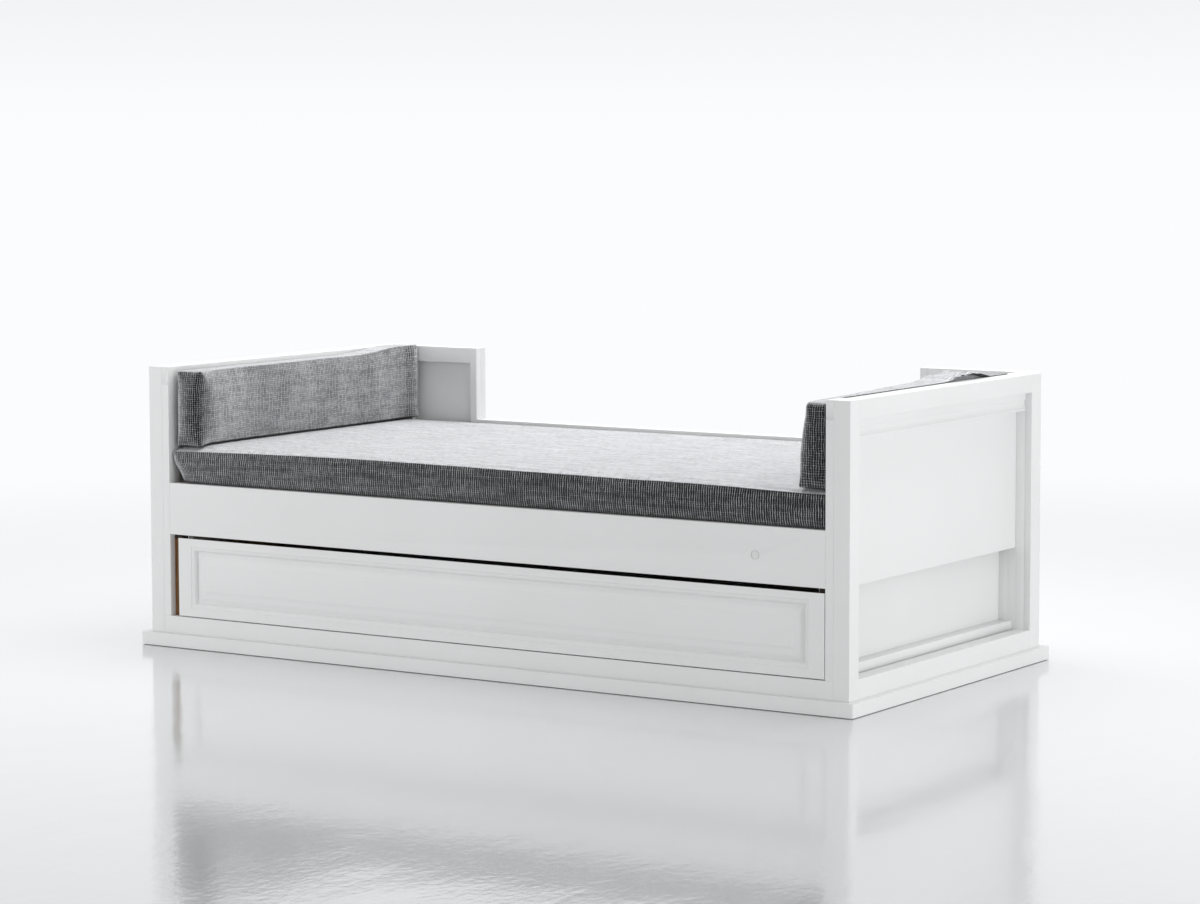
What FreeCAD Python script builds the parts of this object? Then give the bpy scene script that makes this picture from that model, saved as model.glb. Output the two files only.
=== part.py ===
import FreeCAD, Part
import math
import os
import re

import Sketcher

# Pull-out bench bed: a white painted daybed with two high ends, short returns at the back, a loose mattress
# with two bolsters, and one drawer below that holds a second mattress.
#
# All sizes are in millimetres. +X runs along the bed to the right end, +Y to the back and +Z up. The origin
# is the middle of the bed's outer box, on the floor. A depth in the end frames is measured from the end's
# outer face towards the middle of the bed.

SIZES = {
    # whole bed
    "bed_length": 2136,
    "end_depth": 1022,
    "bed_height": 750,
    "arris": 1,
    "cut_overrun": 2,
    "soft_gap": 0.3,
    # plinth and glides
    "plinth_overhang": 20,
    "plinth_thickness": 34.5,
    "plinth_width": 132,
    "glide_thickness": 1.5,
    "glide_radius": 20,
    "glide_inset": 66,
    # end frames
    "post_thickness": 44,
    "front_post_width": 46,
    "back_post_width": 54,
    "post_face_thickness": 18,
    "joint_line_width": 0.8,
    "top_rail_height": 47,
    "end_rail_height": 49,
    "frieze_face": 20,
    "frieze_step": 3,
    "frieze_cove": 19,
    "frieze_slope": 4,
    "frieze_lip": 4,
    "lining_thickness": 22,
    "lining_rail_height": 47,
    "end_panel_thickness": 8,
    "end_panel_bottom": 298,
    "panel_lap": 10,
    "panel_clearance": 0.5,
    # cheeks and battens below the bed box
    "cheek_depth": 91,
    "cheek_thickness": 18,
    "cheek_top": 300,
    "sill_batten_depth": 53,
    "sill_batten_bottom": 77,
    "sill_batten_height": 30,
    "stop_batten_setback": 19.5,
    "rear_batten_thickness": 26,
    # front rails and plug
    "front_rail_height": 46,
    "bed_rail_bottom": 302,
    "bed_rail_height": 138,
    "bed_rail_thickness": 26,
    "plug_radius": 11,
    "plug_clearance": 0.05,
    "plug_length": 12,
    "plug_proud": 0.8,
    "plug_rounding": 0.6,
    "plug_from_right": 258,
    "plug_height": 369.5,
    # back frame
    "back_thickness": 46,
    "back_rail_top": 546,
    "back_rail_height": 166,
    "back_foot_height": 46,
    "wing_length": 353,
    "wing_inset": 22,
    "wing_stile_width": 22,
    "wing_outer_stile_width": 104,
    "wing_rail_height": 44,
    "wing_panel_setback": 17,
    "wing_face_thickness": 21,
    "back_panel_thickness": 8,
    # slats and ledgers
    "ledger_width": 30,
    "ledger_height": 30,
    "slat_thickness": 18,
    "slat_width": 70,
    "slat_end_gap": 0.5,
    "slat_count": 17,
    # brackets and screws
    "bracket_leg": 60,
    "bracket_thickness": 3,
    "bracket_height": 60,
    "bracket_bottom": 312,
    "screw_hole_radius": 2.3,
    "screw_shank_radius": 2,
    "screw_length": 16,
    "screw_head_radius": 4,
    "screw_head_height": 2.4,
    "near_screw_offset": 28,
    "far_screw_offset": 48,
    # mattress and bolsters
    "mattress_end_gap": 2,
    "mattress_front_setback": 10,
    "mattress_back_gap": 6,
    "mattress_thickness": 100,
    "mattress_crown": 9,
    "mattress_rounding": 14,
    "mattress_foot_rounding": 14,
    "mattress_draw": 4,
    "mattress_tuck": 36,
    "bolster_front_setback": 24,
    "bolster_back_gap": 18,
    "bolster_end_gap": 1,
    "bolster_thickness": 80,
    "bolster_drop": 5,
    "bolster_crown": 6,
    "bolster_rounding": 24,
    "bolster_foot_rounding": 8,
    "bolster_draw": 3,
    # drawer
    "drawer_left_inset": 94,
    "drawer_right_inset": 68,
    "drawer_foot_gap": 2.5,
    "drawer_head_gap": 7,
    "drawer_front_thickness": 19,
    "drawer_border_side": 46,
    "drawer_border_edge": 26,
    "ovolo_width": 13,
    "ovolo_depth": 7,
    "field_bevel_width": 34,
    "field_setback": 2,
    "drawer_box_lift": 8,
    "drawer_side_thickness": 16,
    "drawer_side_height": 180,
    "drawer_back_gap": 20,
    "drawer_bottom_lift": 12,
    "drawer_bottom_thickness": 12,
    "drawer_groove_depth": 8,
    "drawer_groove_clearance": 0.2,
    "guest_mattress_thickness": 130,
    "guest_mattress_gap": 5,
    "guest_mattress_crown": 6,
    "guest_mattress_rounding": 16,
    "guest_mattress_foot_rounding": 16,
    "guest_mattress_draw": 4,
    # drawer runners
    "runner_front_gap": 4,
    "runner_rear_gap": 52,
    "runner_thickness": 19,
    "runner_half_height": 28,
    "runner_centre_height": 160,
    "runner_sheet": 2,
    "runner_outer_reach": 12,
    "runner_middle_gap": 3,
    "runner_middle_reach": 10,
    "runner_race": 5.4,
    "runner_clearance": 0.3,
    "runner_inner_reach": 10,
}

PLACES = {
    "left": "-bed_length / 2",
    "right": "bed_length / 2",
    "front": "-(end_depth + back_thickness - plinth_overhang) / 2",
    "back": "front + end_depth",
    "rear": "back + back_thickness",
    "plinth_top": "glide_thickness + plinth_thickness",
    "post_front_edge": "front + front_post_width",
    "post_back_edge": "back - back_post_width",
    "lining_depth": "post_thickness + lining_thickness",
    "lining_rail_bottom": "bed_height - lining_rail_height",
    "panel_depth": "post_thickness + end_panel_thickness",
    "inside_left": "left + lining_depth",
    "inside_right": "right - lining_depth",
    "front_rail_top": "plinth_top + front_rail_height",
    "cheek_inner_depth": "cheek_depth + cheek_thickness",
    "bed_rail_back": "front + bed_rail_thickness",
    "bed_top": "bed_rail_bottom + bed_rail_height",
    "ledger_top": "bed_top - slat_thickness",
    "back_foot_top": "plinth_top + back_foot_height",
    "back_rail_bottom": "back_rail_top - back_rail_height",
    "wing_rail_bottom": "bed_height - wing_rail_height",
    "wing_stile_depth": "wing_length - wing_stile_width",
    "wing_outer_stile_edge": "wing_inset + wing_outer_stile_width",
    "wing_panel_face": "back + wing_panel_setback",
    "wing_panel_back": "wing_panel_face + back_panel_thickness",
    "mattress_bottom": "bed_top + soft_gap",
    "mattress_top": "mattress_bottom + mattress_thickness",
    "bolster_bottom": "mattress_top + soft_gap",
    "drawer_front_back": "front + drawer_front_thickness",
    "drawer_front_bottom": "front_rail_top + drawer_foot_gap",
    "drawer_front_top": "bed_rail_bottom - drawer_head_gap",
    "drawer_box_bottom": "front_rail_top + drawer_box_lift",
    "drawer_box_top": "drawer_box_bottom + drawer_side_height",
    "drawer_side_depth": "cheek_inner_depth + runner_thickness",
    "drawer_inner_depth": "drawer_side_depth + drawer_side_thickness",
    "drawer_back_rear": "back - drawer_back_gap",
    "drawer_back_front": "drawer_back_rear - drawer_side_thickness",
    "drawer_bottom_low": "drawer_box_bottom + drawer_bottom_lift",
    "drawer_bottom_top": "drawer_bottom_low + drawer_bottom_thickness",
    "runner_front": "post_front_edge + runner_front_gap",
    "runner_length": "drawer_back_rear - runner_rear_gap - runner_front",
}

PLANES = {"x": "YZ_Plane", "y": "XZ_Plane", "z": "XY_Plane"}
ARC_NOOK_SHARE = 1 - math.sqrt(1 / 2)
EDGE_EASE_SHARE = 1 / 2
CROWN_EASE_SHARE = 2 / 3
QUARTER_DRAW_SHARE = 3 / 4
TUCK_HEIGHT_SHARE = 0.7
TUCK_ROUNDING_SHARE = 1 / 4

document = FreeCAD.newDocument("PullOutBenchBed")
sheet = document.addObject("Spreadsheet::Sheet", "Sizes")
sub_parts = []


def fill_sheet():
    """Write each driving dimension into the sheet, with its name beside it."""
    for row, (name, value) in enumerate(SIZES.items(), start=1):
        sheet.set(f"A{row}", name)
        sheet.set(f"B{row}", str(value))
        sheet.setAlias(f"B{row}", name)
    document.recompute()


def spell(formula):
    """Spell a formula of size and place names as an expression on the sheet."""

    def swap(found):
        word = found.group()
        if word in PLACES:
            return f"({spell(PLACES[word])})"
        return f"Sizes.{word}" if word in SIZES else word

    return re.sub(r"[a-z_]+", swap, formula)


def number(formula):
    """Work out a formula of size and place names."""
    return float(sheet.evalExpression(spell(formula)))


def bind(thing, **formulas):
    """Bind properties of an object, written with __ for a dot, to formulas."""
    for name, formula in formulas.items():
        thing.setExpression(name.replace("__", "."), spell(formula))


def place(thing, x, y, z):
    """Bind where an object stands."""
    bind(thing, Placement__Base__x=x, Placement__Base__y=y, Placement__Base__z=z)


def keep(thing, label):
    """Name a finished sub-part and put it on the list that is written out."""
    thing.Label = label
    sub_parts.append(thing)
    return thing


def draw_outline(body, plane, moves):
    """Draw a closed outline from its first corner by moves along and across, and tie each to the sheet.

    A sketch knows a line's start as its point 1 and its end as point 2, and its own origin as line -1.
    """
    sketch = body.newObject("Sketcher::SketchObject", f"{body.Name}_outline")
    origin = [item for item in body.Origin.OriginFeatures if item.Role == plane]
    sketch.AttachmentSupport = [(origin[0], "")]
    sketch.MapMode = "FlatFace"
    corners = [FreeCAD.Vector(0, 0, 0)]
    for along, across in moves:
        corners.append(corners[-1] + FreeCAD.Vector(number(along or "0"), number(across or "0"), 0))
    for first, last in zip(corners, corners[1:] + corners[:1]):
        sketch.addGeometry(Part.LineSegment(first, last), False)
    lines = len(corners)
    for line in range(lines):
        sketch.addConstraint(Sketcher.Constraint("Coincident", line, 2, (line + 1) % lines, 1))
    sketch.addConstraint(Sketcher.Constraint("Coincident", 0, 1, -1, 1))
    for line, (along, across) in enumerate(moves):
        rules = ((along, "DistanceX", "Vertical"), (across, "DistanceY", "Horizontal"))
        for formula, distance, level in rules:
            if not formula:
                sketch.addConstraint(Sketcher.Constraint(level, line))
                continue
            size = number(formula)
            ends = (1, 2) if size > 0 else (2, 1)
            rule = Sketcher.Constraint(distance, line, ends[0], line, ends[1], abs(size))
            index = sketch.addConstraint(rule)
            signed = formula if size > 0 else f"-({formula})"
            sketch.setExpression(f"Constraints[{index}]", spell(signed))
    return sketch


def prism(label, along, corner, moves, length, eased=True):
    """Make a straight piece of one section: its outline, its length and an eased arris all round."""
    body = document.addObject("PartDesign::Body", label)
    sketch = draw_outline(body, PLANES[along], moves)
    pad = body.newObject("PartDesign::Pad", f"{label}_pad")
    pad.Profile = sketch
    pad.Reversed = along == "y"
    bind(pad, Length=length)
    if eased:
        document.recompute()
        arris = body.newObject("PartDesign::Fillet", f"{label}_arris")
        arris.Base = (pad, [""])
        arris.UseAllEdges = True
        bind(arris, Radius="arris")
    place(body, *corner)
    return body


def cut_box(body, corner, x, y, z):
    """Cut a box, given in the bed's own frame, out of a body that stands at a corner."""
    cut = body.newObject("PartDesign::SubtractiveBox", f"{body.Name}_cut")
    bind(cut, Length=f"({x[1]}) - ({x[0]})", Width=f"({y[1]}) - ({y[0]})", Height=f"({z[1]}) - ({z[0]})")
    place(cut, *(f"({low}) - ({start})" for low, start in zip((x[0], y[0], z[0]), corner)))


def cut_hole(body, corner, centre, radius, length, rotation):
    """Bore a round hole, given in the bed's own frame, into a body that stands at a corner."""
    cut = body.newObject("PartDesign::SubtractiveCylinder", f"{body.Name}_hole")
    bind(cut, Radius=radius, Height=length)
    cut.Placement = FreeCAD.Placement(FreeCAD.Vector(0, 0, 0), rotation)
    place(cut, *(f"({middle}) - ({start})" for middle, start in zip(centre, corner)))


def board(label, along, x, y, z, cuts=()):
    """Make a board from its low and high faces along each axis, and cut its rebates and grooves."""
    corner = (x[0], y[0], z[0])
    spans = {"x": f"({x[1]}) - ({x[0]})", "y": f"({y[1]}) - ({y[0]})", "z": f"({z[1]}) - ({z[0]})"}
    across, up = [spans[axis] for axis in "xyz" if axis != along]
    moves = [(across, ""), ("", up), (f"-({across})", "")]
    body = prism(label, along, corner, moves, spans[along])
    for cut in cuts:
        cut_box(body, corner, *cut)
    return keep(body, label)


def block(name, x, y, z):
    """Make one plain square piece of a group."""
    piece = document.addObject("Part::Box", name)
    bind(piece, Length=f"({x[1]}) - ({x[0]})", Width=f"({y[1]}) - ({y[0]})", Height=f"({z[1]}) - ({z[0]})")
    place(piece, x[0], y[0], z[0])
    return piece


def ease_block(piece):
    """Ease every edge of a plain block."""
    document.recompute()
    eased = document.addObject("Part::Fillet", f"eased_{piece.Name}")
    eased.Base = piece
    radius = number("arris")
    eased.Edges = [(index, radius, radius) for index in range(1, len(piece.Shape.Edges) + 1)]
    return eased


def rod(name, x, y, z, radius, length, rotation=FreeCAD.Rotation()):
    """Make one round piece of a group, standing on z or turned by a rotation."""
    piece = document.addObject("Part::Cylinder", name)
    piece.Placement = FreeCAD.Placement(FreeCAD.Vector(0, 0, 0), rotation)
    bind(piece, Radius=radius, Height=length)
    place(piece, x, y, z)
    return piece


def group(label, pieces):
    """Put like pieces in one sub-part, each still a solid of its own."""
    compound = document.addObject("Part::Compound", label)
    compound.Links = pieces
    return keep(compound, label)


class End:
    """One end of the bed, which turns depths from its outer face into places along the bed."""

    def __init__(self, name, face, inward):
        self.name = name
        self.face = face
        self.inward = inward

    def at(self, depth):
        """The place along the bed that lies at a depth."""
        return f"{self.face} {self.inward} ({depth})"

    def span(self, near, far):
        """The low and high places of a piece between two depths."""
        places = self.at(near), self.at(far)
        return places if self.inward == "+" else places[::-1]

    def run(self, length):
        """A length along the bed, towards its middle."""
        return length if self.inward == "+" else f"-({length})"

    def label(self, piece):
        """The name of a piece of this end."""
        return f"{self.name}_{piece}"


LEFT_END = End("left", "left", "+")
RIGHT_END = End("right", "right", "-")
ENDS = (LEFT_END, RIGHT_END)
FORWARD = FreeCAD.Rotation(FreeCAD.Vector(1, 0, 0), 90)
BACKWARD = FreeCAD.Rotation(FreeCAD.Vector(1, 0, 0), -90)
RIGHTWARD = FreeCAD.Rotation(FreeCAD.Vector(0, 1, 0), 90)
LEFTWARD = FreeCAD.Rotation(FreeCAD.Vector(0, 1, 0), -90)


def make_plinth():
    """Four flat strips with mitred corners, on round floor glides."""
    length = "bed_length + 2 * plinth_overhang"
    depth = "end_depth + 2 * plinth_overhang"
    width = "plinth_width"
    low_x, high_x = "left - plinth_overhang", "right + plinth_overhang"
    low_y, high_y = "front - plinth_overhang", "back + plinth_overhang"
    along, across = f"{length} - 2 * {width}", f"{depth} - 2 * {width}"
    strips = {
        "plinth_front": (low_x, low_y, [(length, ""), (f"-{width}", width), (f"-({along})", "")]),
        "plinth_right": (high_x, low_y, [("", depth), (f"-{width}", f"-{width}"), ("", f"-({across})")]),
        "plinth_back": (high_x, high_y, [(f"-({length})", ""), (width, f"-{width}"), (along, "")]),
        "plinth_left": (low_x, high_y, [("", f"-({depth})"), (width, width), ("", across)]),
    }
    for label, (x, y, moves) in strips.items():
        keep(prism(label, "z", (x, y, "glide_thickness"), moves, "plinth_thickness"), label)
    glides = []
    for x in (f"{low_x} + glide_inset", "0", f"{high_x} - glide_inset"):
        for y in (f"{low_y} + glide_inset", f"{high_y} - glide_inset"):
            glides.append(rod("glide", x, y, "0", "glide_radius", "glide_thickness"))
    group("floor_glides", glides)


def make_end_frame(end):
    """The outer frame of one end: two posts with their joint line, three rails and the moulded frieze."""
    posts = end.span("0", "post_thickness")
    line = end.span("post_face_thickness", "post_face_thickness + joint_line_width")
    between = ("post_front_edge", "post_back_edge")
    full = ("plinth_top - cut_overrun", "bed_height + cut_overrun")
    front_line = (line, ("post_front_edge - joint_line_width", "post_front_edge + cut_overrun"), full)
    back_line = (line, ("post_back_edge - cut_overrun", "post_back_edge + joint_line_width"), full)
    height = ("plinth_top", "bed_height")
    board(end.label("front_post"), "z", posts, ("front", "post_front_edge"), height, [front_line])
    board(end.label("back_post"), "z", posts, ("post_back_edge", "back"), height, [back_line])
    face = end.span("0", "post_face_thickness")
    board(end.label("top_rail"), "y", face, between, ("bed_height - top_rail_height", "bed_height"))
    board(end.label("bottom_rail"), "y", posts, between, ("plinth_top", "plinth_top + end_rail_height"))
    thickness = "post_thickness - post_face_thickness"
    height = "top_rail_height + frieze_face + frieze_cove + frieze_slope + frieze_lip"
    moves = [
        ("", "-(top_rail_height + frieze_face)"),
        (end.run("frieze_step"), ""),
        ("", "-frieze_cove"),
        (end.run("-frieze_step"), "-frieze_slope"),
        ("", "-frieze_lip"),
        (end.run(thickness), ""),
        ("", height),
    ]
    corner = (end.at("post_face_thickness"), between[0], "bed_height")
    frieze = prism(end.label("frieze_rail"), "y", corner, moves, "post_back_edge - post_front_edge", False)
    keep(frieze, end.label("frieze_rail"))


def make_end_lining(end):
    """The inner frame of one end, rebated for the thin panel, and the panel itself."""
    lining = end.span("post_thickness", "lining_depth")
    rebate = end.span("post_thickness - cut_overrun", "panel_depth")
    lap_front = ("post_front_edge - panel_lap", "post_front_edge + cut_overrun")
    lap_back = ("post_back_edge - cut_overrun", "post_back_edge + panel_lap")
    lap_height = ("end_panel_bottom", "lining_rail_bottom + cut_overrun")
    lap_top = ("lining_rail_bottom - cut_overrun", "lining_rail_bottom + panel_lap")
    board(
        end.label("lining_front_stile"), "z", lining, ("front", "post_front_edge"),
        ("front_rail_top", "lining_rail_bottom"), [(rebate, lap_front, lap_height)],
    )
    board(
        end.label("lining_back_stile"), "z", lining, ("post_back_edge", "back"),
        ("plinth_top", "lining_rail_bottom"), [(rebate, lap_back, lap_height)],
    )
    board(
        end.label("lining_top_rail"), "y", lining, ("front", "back"), ("lining_rail_bottom", "bed_height"),
        [(rebate, (lap_front[0], lap_back[1]), lap_top)],
    )
    board(
        end.label("lining_bed_rail"), "y", end.span("panel_depth", "lining_depth"),
        ("post_front_edge", "post_back_edge"), ("bed_rail_bottom", "bed_top"),
    )
    board(
        end.label("end_panel"), "y", end.span("post_thickness", "panel_depth"),
        (f"{lap_front[0]} + panel_clearance", f"{lap_back[1]} - panel_clearance"),
        ("end_panel_bottom", f"{lap_top[1]} - panel_clearance"),
    )


def make_cheeks():
    """The white cheek boards that carry the runners, their white battens, and the raw pine drawer stops."""
    sills, stops = [], []
    for end in ENDS:
        board(
            end.label("cheek"), "y", end.span("cheek_depth", "cheek_inner_depth"),
            ("post_front_edge", "back"), ("plinth_top", "cheek_top"),
        )
        sills.append(block(
            end.label("sill"), end.span("sill_batten_depth", "cheek_depth"),
            ("post_front_edge", "post_back_edge"),
            ("sill_batten_bottom", "sill_batten_bottom + sill_batten_height"),
        ))
        sills.append(block(
            end.label("rear_batten"), end.span("lining_depth", "cheek_depth"),
            ("post_back_edge", "post_back_edge + rear_batten_thickness"), ("plinth_top", "cheek_top"),
        ))
        stops.append(block(
            end.label("stop"), end.span("lining_depth", "cheek_depth"),
            ("front + stop_batten_setback", "post_front_edge"), ("front_rail_top", "cheek_top"),
        ))
    group("sill_battens", sills)
    group("pine_battens", stops)


def make_front():
    """The bottom rail, the deep bed rail and the round plug in it."""
    board(
        "front_bottom_rail", "x", ("left + post_thickness", "right - post_thickness"),
        ("front", "post_front_edge"), ("plinth_top", "front_rail_top"),
    )
    corner = ("inside_left", "front", "bed_rail_bottom")
    rail = board(
        "front_bed_rail", "x", ("inside_left", "inside_right"), ("front", "bed_rail_back"),
        ("bed_rail_bottom", "bed_top"),
    )
    centre = ("right - plug_from_right", "front + plug_length", "plug_height")
    cut_hole(rail, corner, centre, "plug_radius", "plug_length + cut_overrun", FORWARD)
    plug = rod(
        "plug_rod", *centre, "plug_radius - plug_clearance", "plug_length + plug_proud", FORWARD
    )
    document.recompute()
    cap = document.addObject("Part::Fillet", "rail_plug")
    cap.Base = plug
    rim = [
        index for index, edge in enumerate(plug.Shape.Edges, start=1)
        if len(edge.Vertexes) == 1 and edge.CenterOfMass.y < number("front")
    ]
    cap.Edges = [(index, number("plug_rounding"), number("plug_rounding")) for index in rim]
    keep(cap, "rail_plug")


def make_back():
    """The frame behind the ends: two high wings with panels, and a low back between them."""
    thick = ("back", "rear")
    slot = ("wing_panel_face", "wing_panel_back")
    low_lap = ("back_foot_top - panel_lap", "back_foot_top + cut_overrun")
    grooves = []
    for end in ENDS:
        panel_x = end.span("wing_outer_stile_edge - panel_lap", "wing_stile_depth + panel_lap")
        line = end.span("wing_length - joint_line_width", "wing_length + cut_overrun")
        line_y = ("back + wing_face_thickness", "back + wing_face_thickness + joint_line_width")
        full = ("back_foot_top - cut_overrun", "bed_height + cut_overrun")
        board(
            end.label("wing_outer_stile"), "z", end.span("wing_inset", "wing_outer_stile_edge"), thick,
            ("back_foot_top", "wing_rail_bottom"),
            [(end.span("wing_outer_stile_edge - panel_lap", "wing_outer_stile_edge + cut_overrun"), slot,
              ("back_foot_top - cut_overrun", "wing_rail_bottom + cut_overrun"))],
        )
        board(
            end.label("wing_free_stile"), "z", end.span("wing_stile_depth", "wing_length"), thick,
            ("back_foot_top", "bed_height"),
            [(end.span("wing_stile_depth - cut_overrun", "wing_stile_depth + panel_lap"), slot,
              ("back_foot_top - cut_overrun", "wing_rail_bottom + panel_lap")),
             (line, line_y, ("back_rail_top", full[1]))],
        )
        board(
            end.label("wing_top_rail"), "x", end.span("wing_inset", "wing_stile_depth"), thick,
            ("wing_rail_bottom", "bed_height"),
            [(end.span("wing_outer_stile_edge - panel_lap", "wing_stile_depth + cut_overrun"), slot,
              ("wing_rail_bottom - cut_overrun", "wing_rail_bottom + panel_lap"))],
        )
        board(
            end.label("wing_panel"), "z",
            (f"{panel_x[0]} + panel_clearance", f"{panel_x[1]} - panel_clearance"), slot,
            ("back_foot_top - panel_lap", "wing_rail_bottom + panel_lap - panel_clearance"),
        )
        grooves.append((panel_x, slot, low_lap))
    low_x = ("left + wing_length", "right - wing_length")
    grooves.append((low_x, slot, low_lap))
    board(
        "back_bottom_rail", "x", ("left + wing_inset", "right - wing_inset"), thick,
        ("plinth_top", "back_foot_top"), grooves,
    )
    board(
        "back_rail", "x", low_x, thick, ("back_rail_bottom", "back_rail_top"),
        [((f"{low_x[0]} - cut_overrun", f"{low_x[1]} + cut_overrun"), slot,
          ("back_rail_bottom - cut_overrun", "back_rail_bottom + panel_lap"))],
    )
    board(
        "back_panel", "x", low_x, slot,
        ("back_foot_top - panel_lap", "back_rail_bottom + panel_lap - panel_clearance"),
    )


def make_bed_base():
    """The ledgers on the front and back of the bed box, and the slats across them."""
    inside = ("inside_left", "inside_right")
    height = ("ledger_top - ledger_height", "ledger_top")
    group("slat_ledgers", [
        block("front_ledger", inside, ("bed_rail_back", "bed_rail_back + ledger_width"), height),
        block("back_ledger", inside, ("back - ledger_width", "back"), height),
    ])
    pitch = "(inside_right - inside_left) / slat_count"
    across = ("bed_rail_back + slat_end_gap", "back - slat_end_gap")
    slats = []
    for slat in range(int(number("slat_count"))):
        centre = f"inside_left + {pitch} * ({slat} + 1 / 2)"
        wide = (f"{centre} - slat_width / 2", f"{centre} + slat_width / 2")
        slats.append(block("slat", wide, across, ("ledger_top", "bed_top")))
    group("bed_slats", slats)


def make_brackets():
    """Four angle brackets in the corners of the bed box, each with four wood screws."""
    brackets, screws = [], []
    for end in ENDS:
        for y, sign, into_wood in (("bed_rail_back", "+", FORWARD), ("back", "-", BACKWARD)):
            bracket, fixings = make_bracket(end, y, sign, into_wood)
            brackets.append(bracket)
            screws.extend(fixings)
    group("corner_brackets", brackets)
    group("bracket_screws", screws)


def make_bracket(end, y, sign, into_wood):
    """One angle bracket whose legs lie on the end's lining and on the board at y, and its screws."""

    def off_board(distance):
        return f"{y} {sign} ({distance})"

    def off_lining(distance):
        return end.at(f"lining_depth + {distance}")

    signed = "" if sign == "+" else "-"
    corner = (off_lining("0"), y, "bracket_bottom")
    leg = "bracket_leg - bracket_thickness"
    moves = [
        (end.run("bracket_leg"), ""),
        ("", f"{signed}bracket_thickness"),
        (end.run(f"-({leg})"), ""),
        ("", f"{signed}({leg})"),
        (end.run("-bracket_thickness"), ""),
    ]
    bracket = prism(end.label("bracket"), "z", corner, moves, "bracket_height", False)
    into_end = LEFTWARD if end is LEFT_END else RIGHTWARD
    middle = "bracket_bottom + bracket_height / 2"
    start = "bracket_thickness + cut_overrun"
    through = "bracket_thickness + 2 * cut_overrun"
    seat, crown = "bracket_thickness", "bracket_thickness + screw_head_height"
    screws = []
    for offset in ("near_screw_offset", "far_screw_offset"):
        x = off_lining(offset)
        cut_hole(bracket, corner, (x, off_board(start), middle), "screw_hole_radius", through, into_wood)
        screws.append(screw((x, off_board(seat), middle), (x, off_board(crown), middle), into_wood))
        along = off_board(offset)
        cut_hole(bracket, corner, (off_lining(start), along, middle), "screw_hole_radius", through, into_end)
        screws.append(screw((off_lining(seat), along, middle), (off_lining(crown), along, middle), into_end))
    return bracket, screws


def screw(seat, crown, rotation):
    """One pan-head wood screw: the underside of its head is at its seat and the head's top at its crown."""
    shank = rod("screw_shank", *seat, "screw_shank_radius", "screw_length", rotation)
    head = rod("screw_head", *crown, "screw_head_radius", "screw_head_height", rotation)
    whole = document.addObject("Part::Fuse", "screw")
    whole.Base = shank
    whole.Tool = head
    return whole


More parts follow.
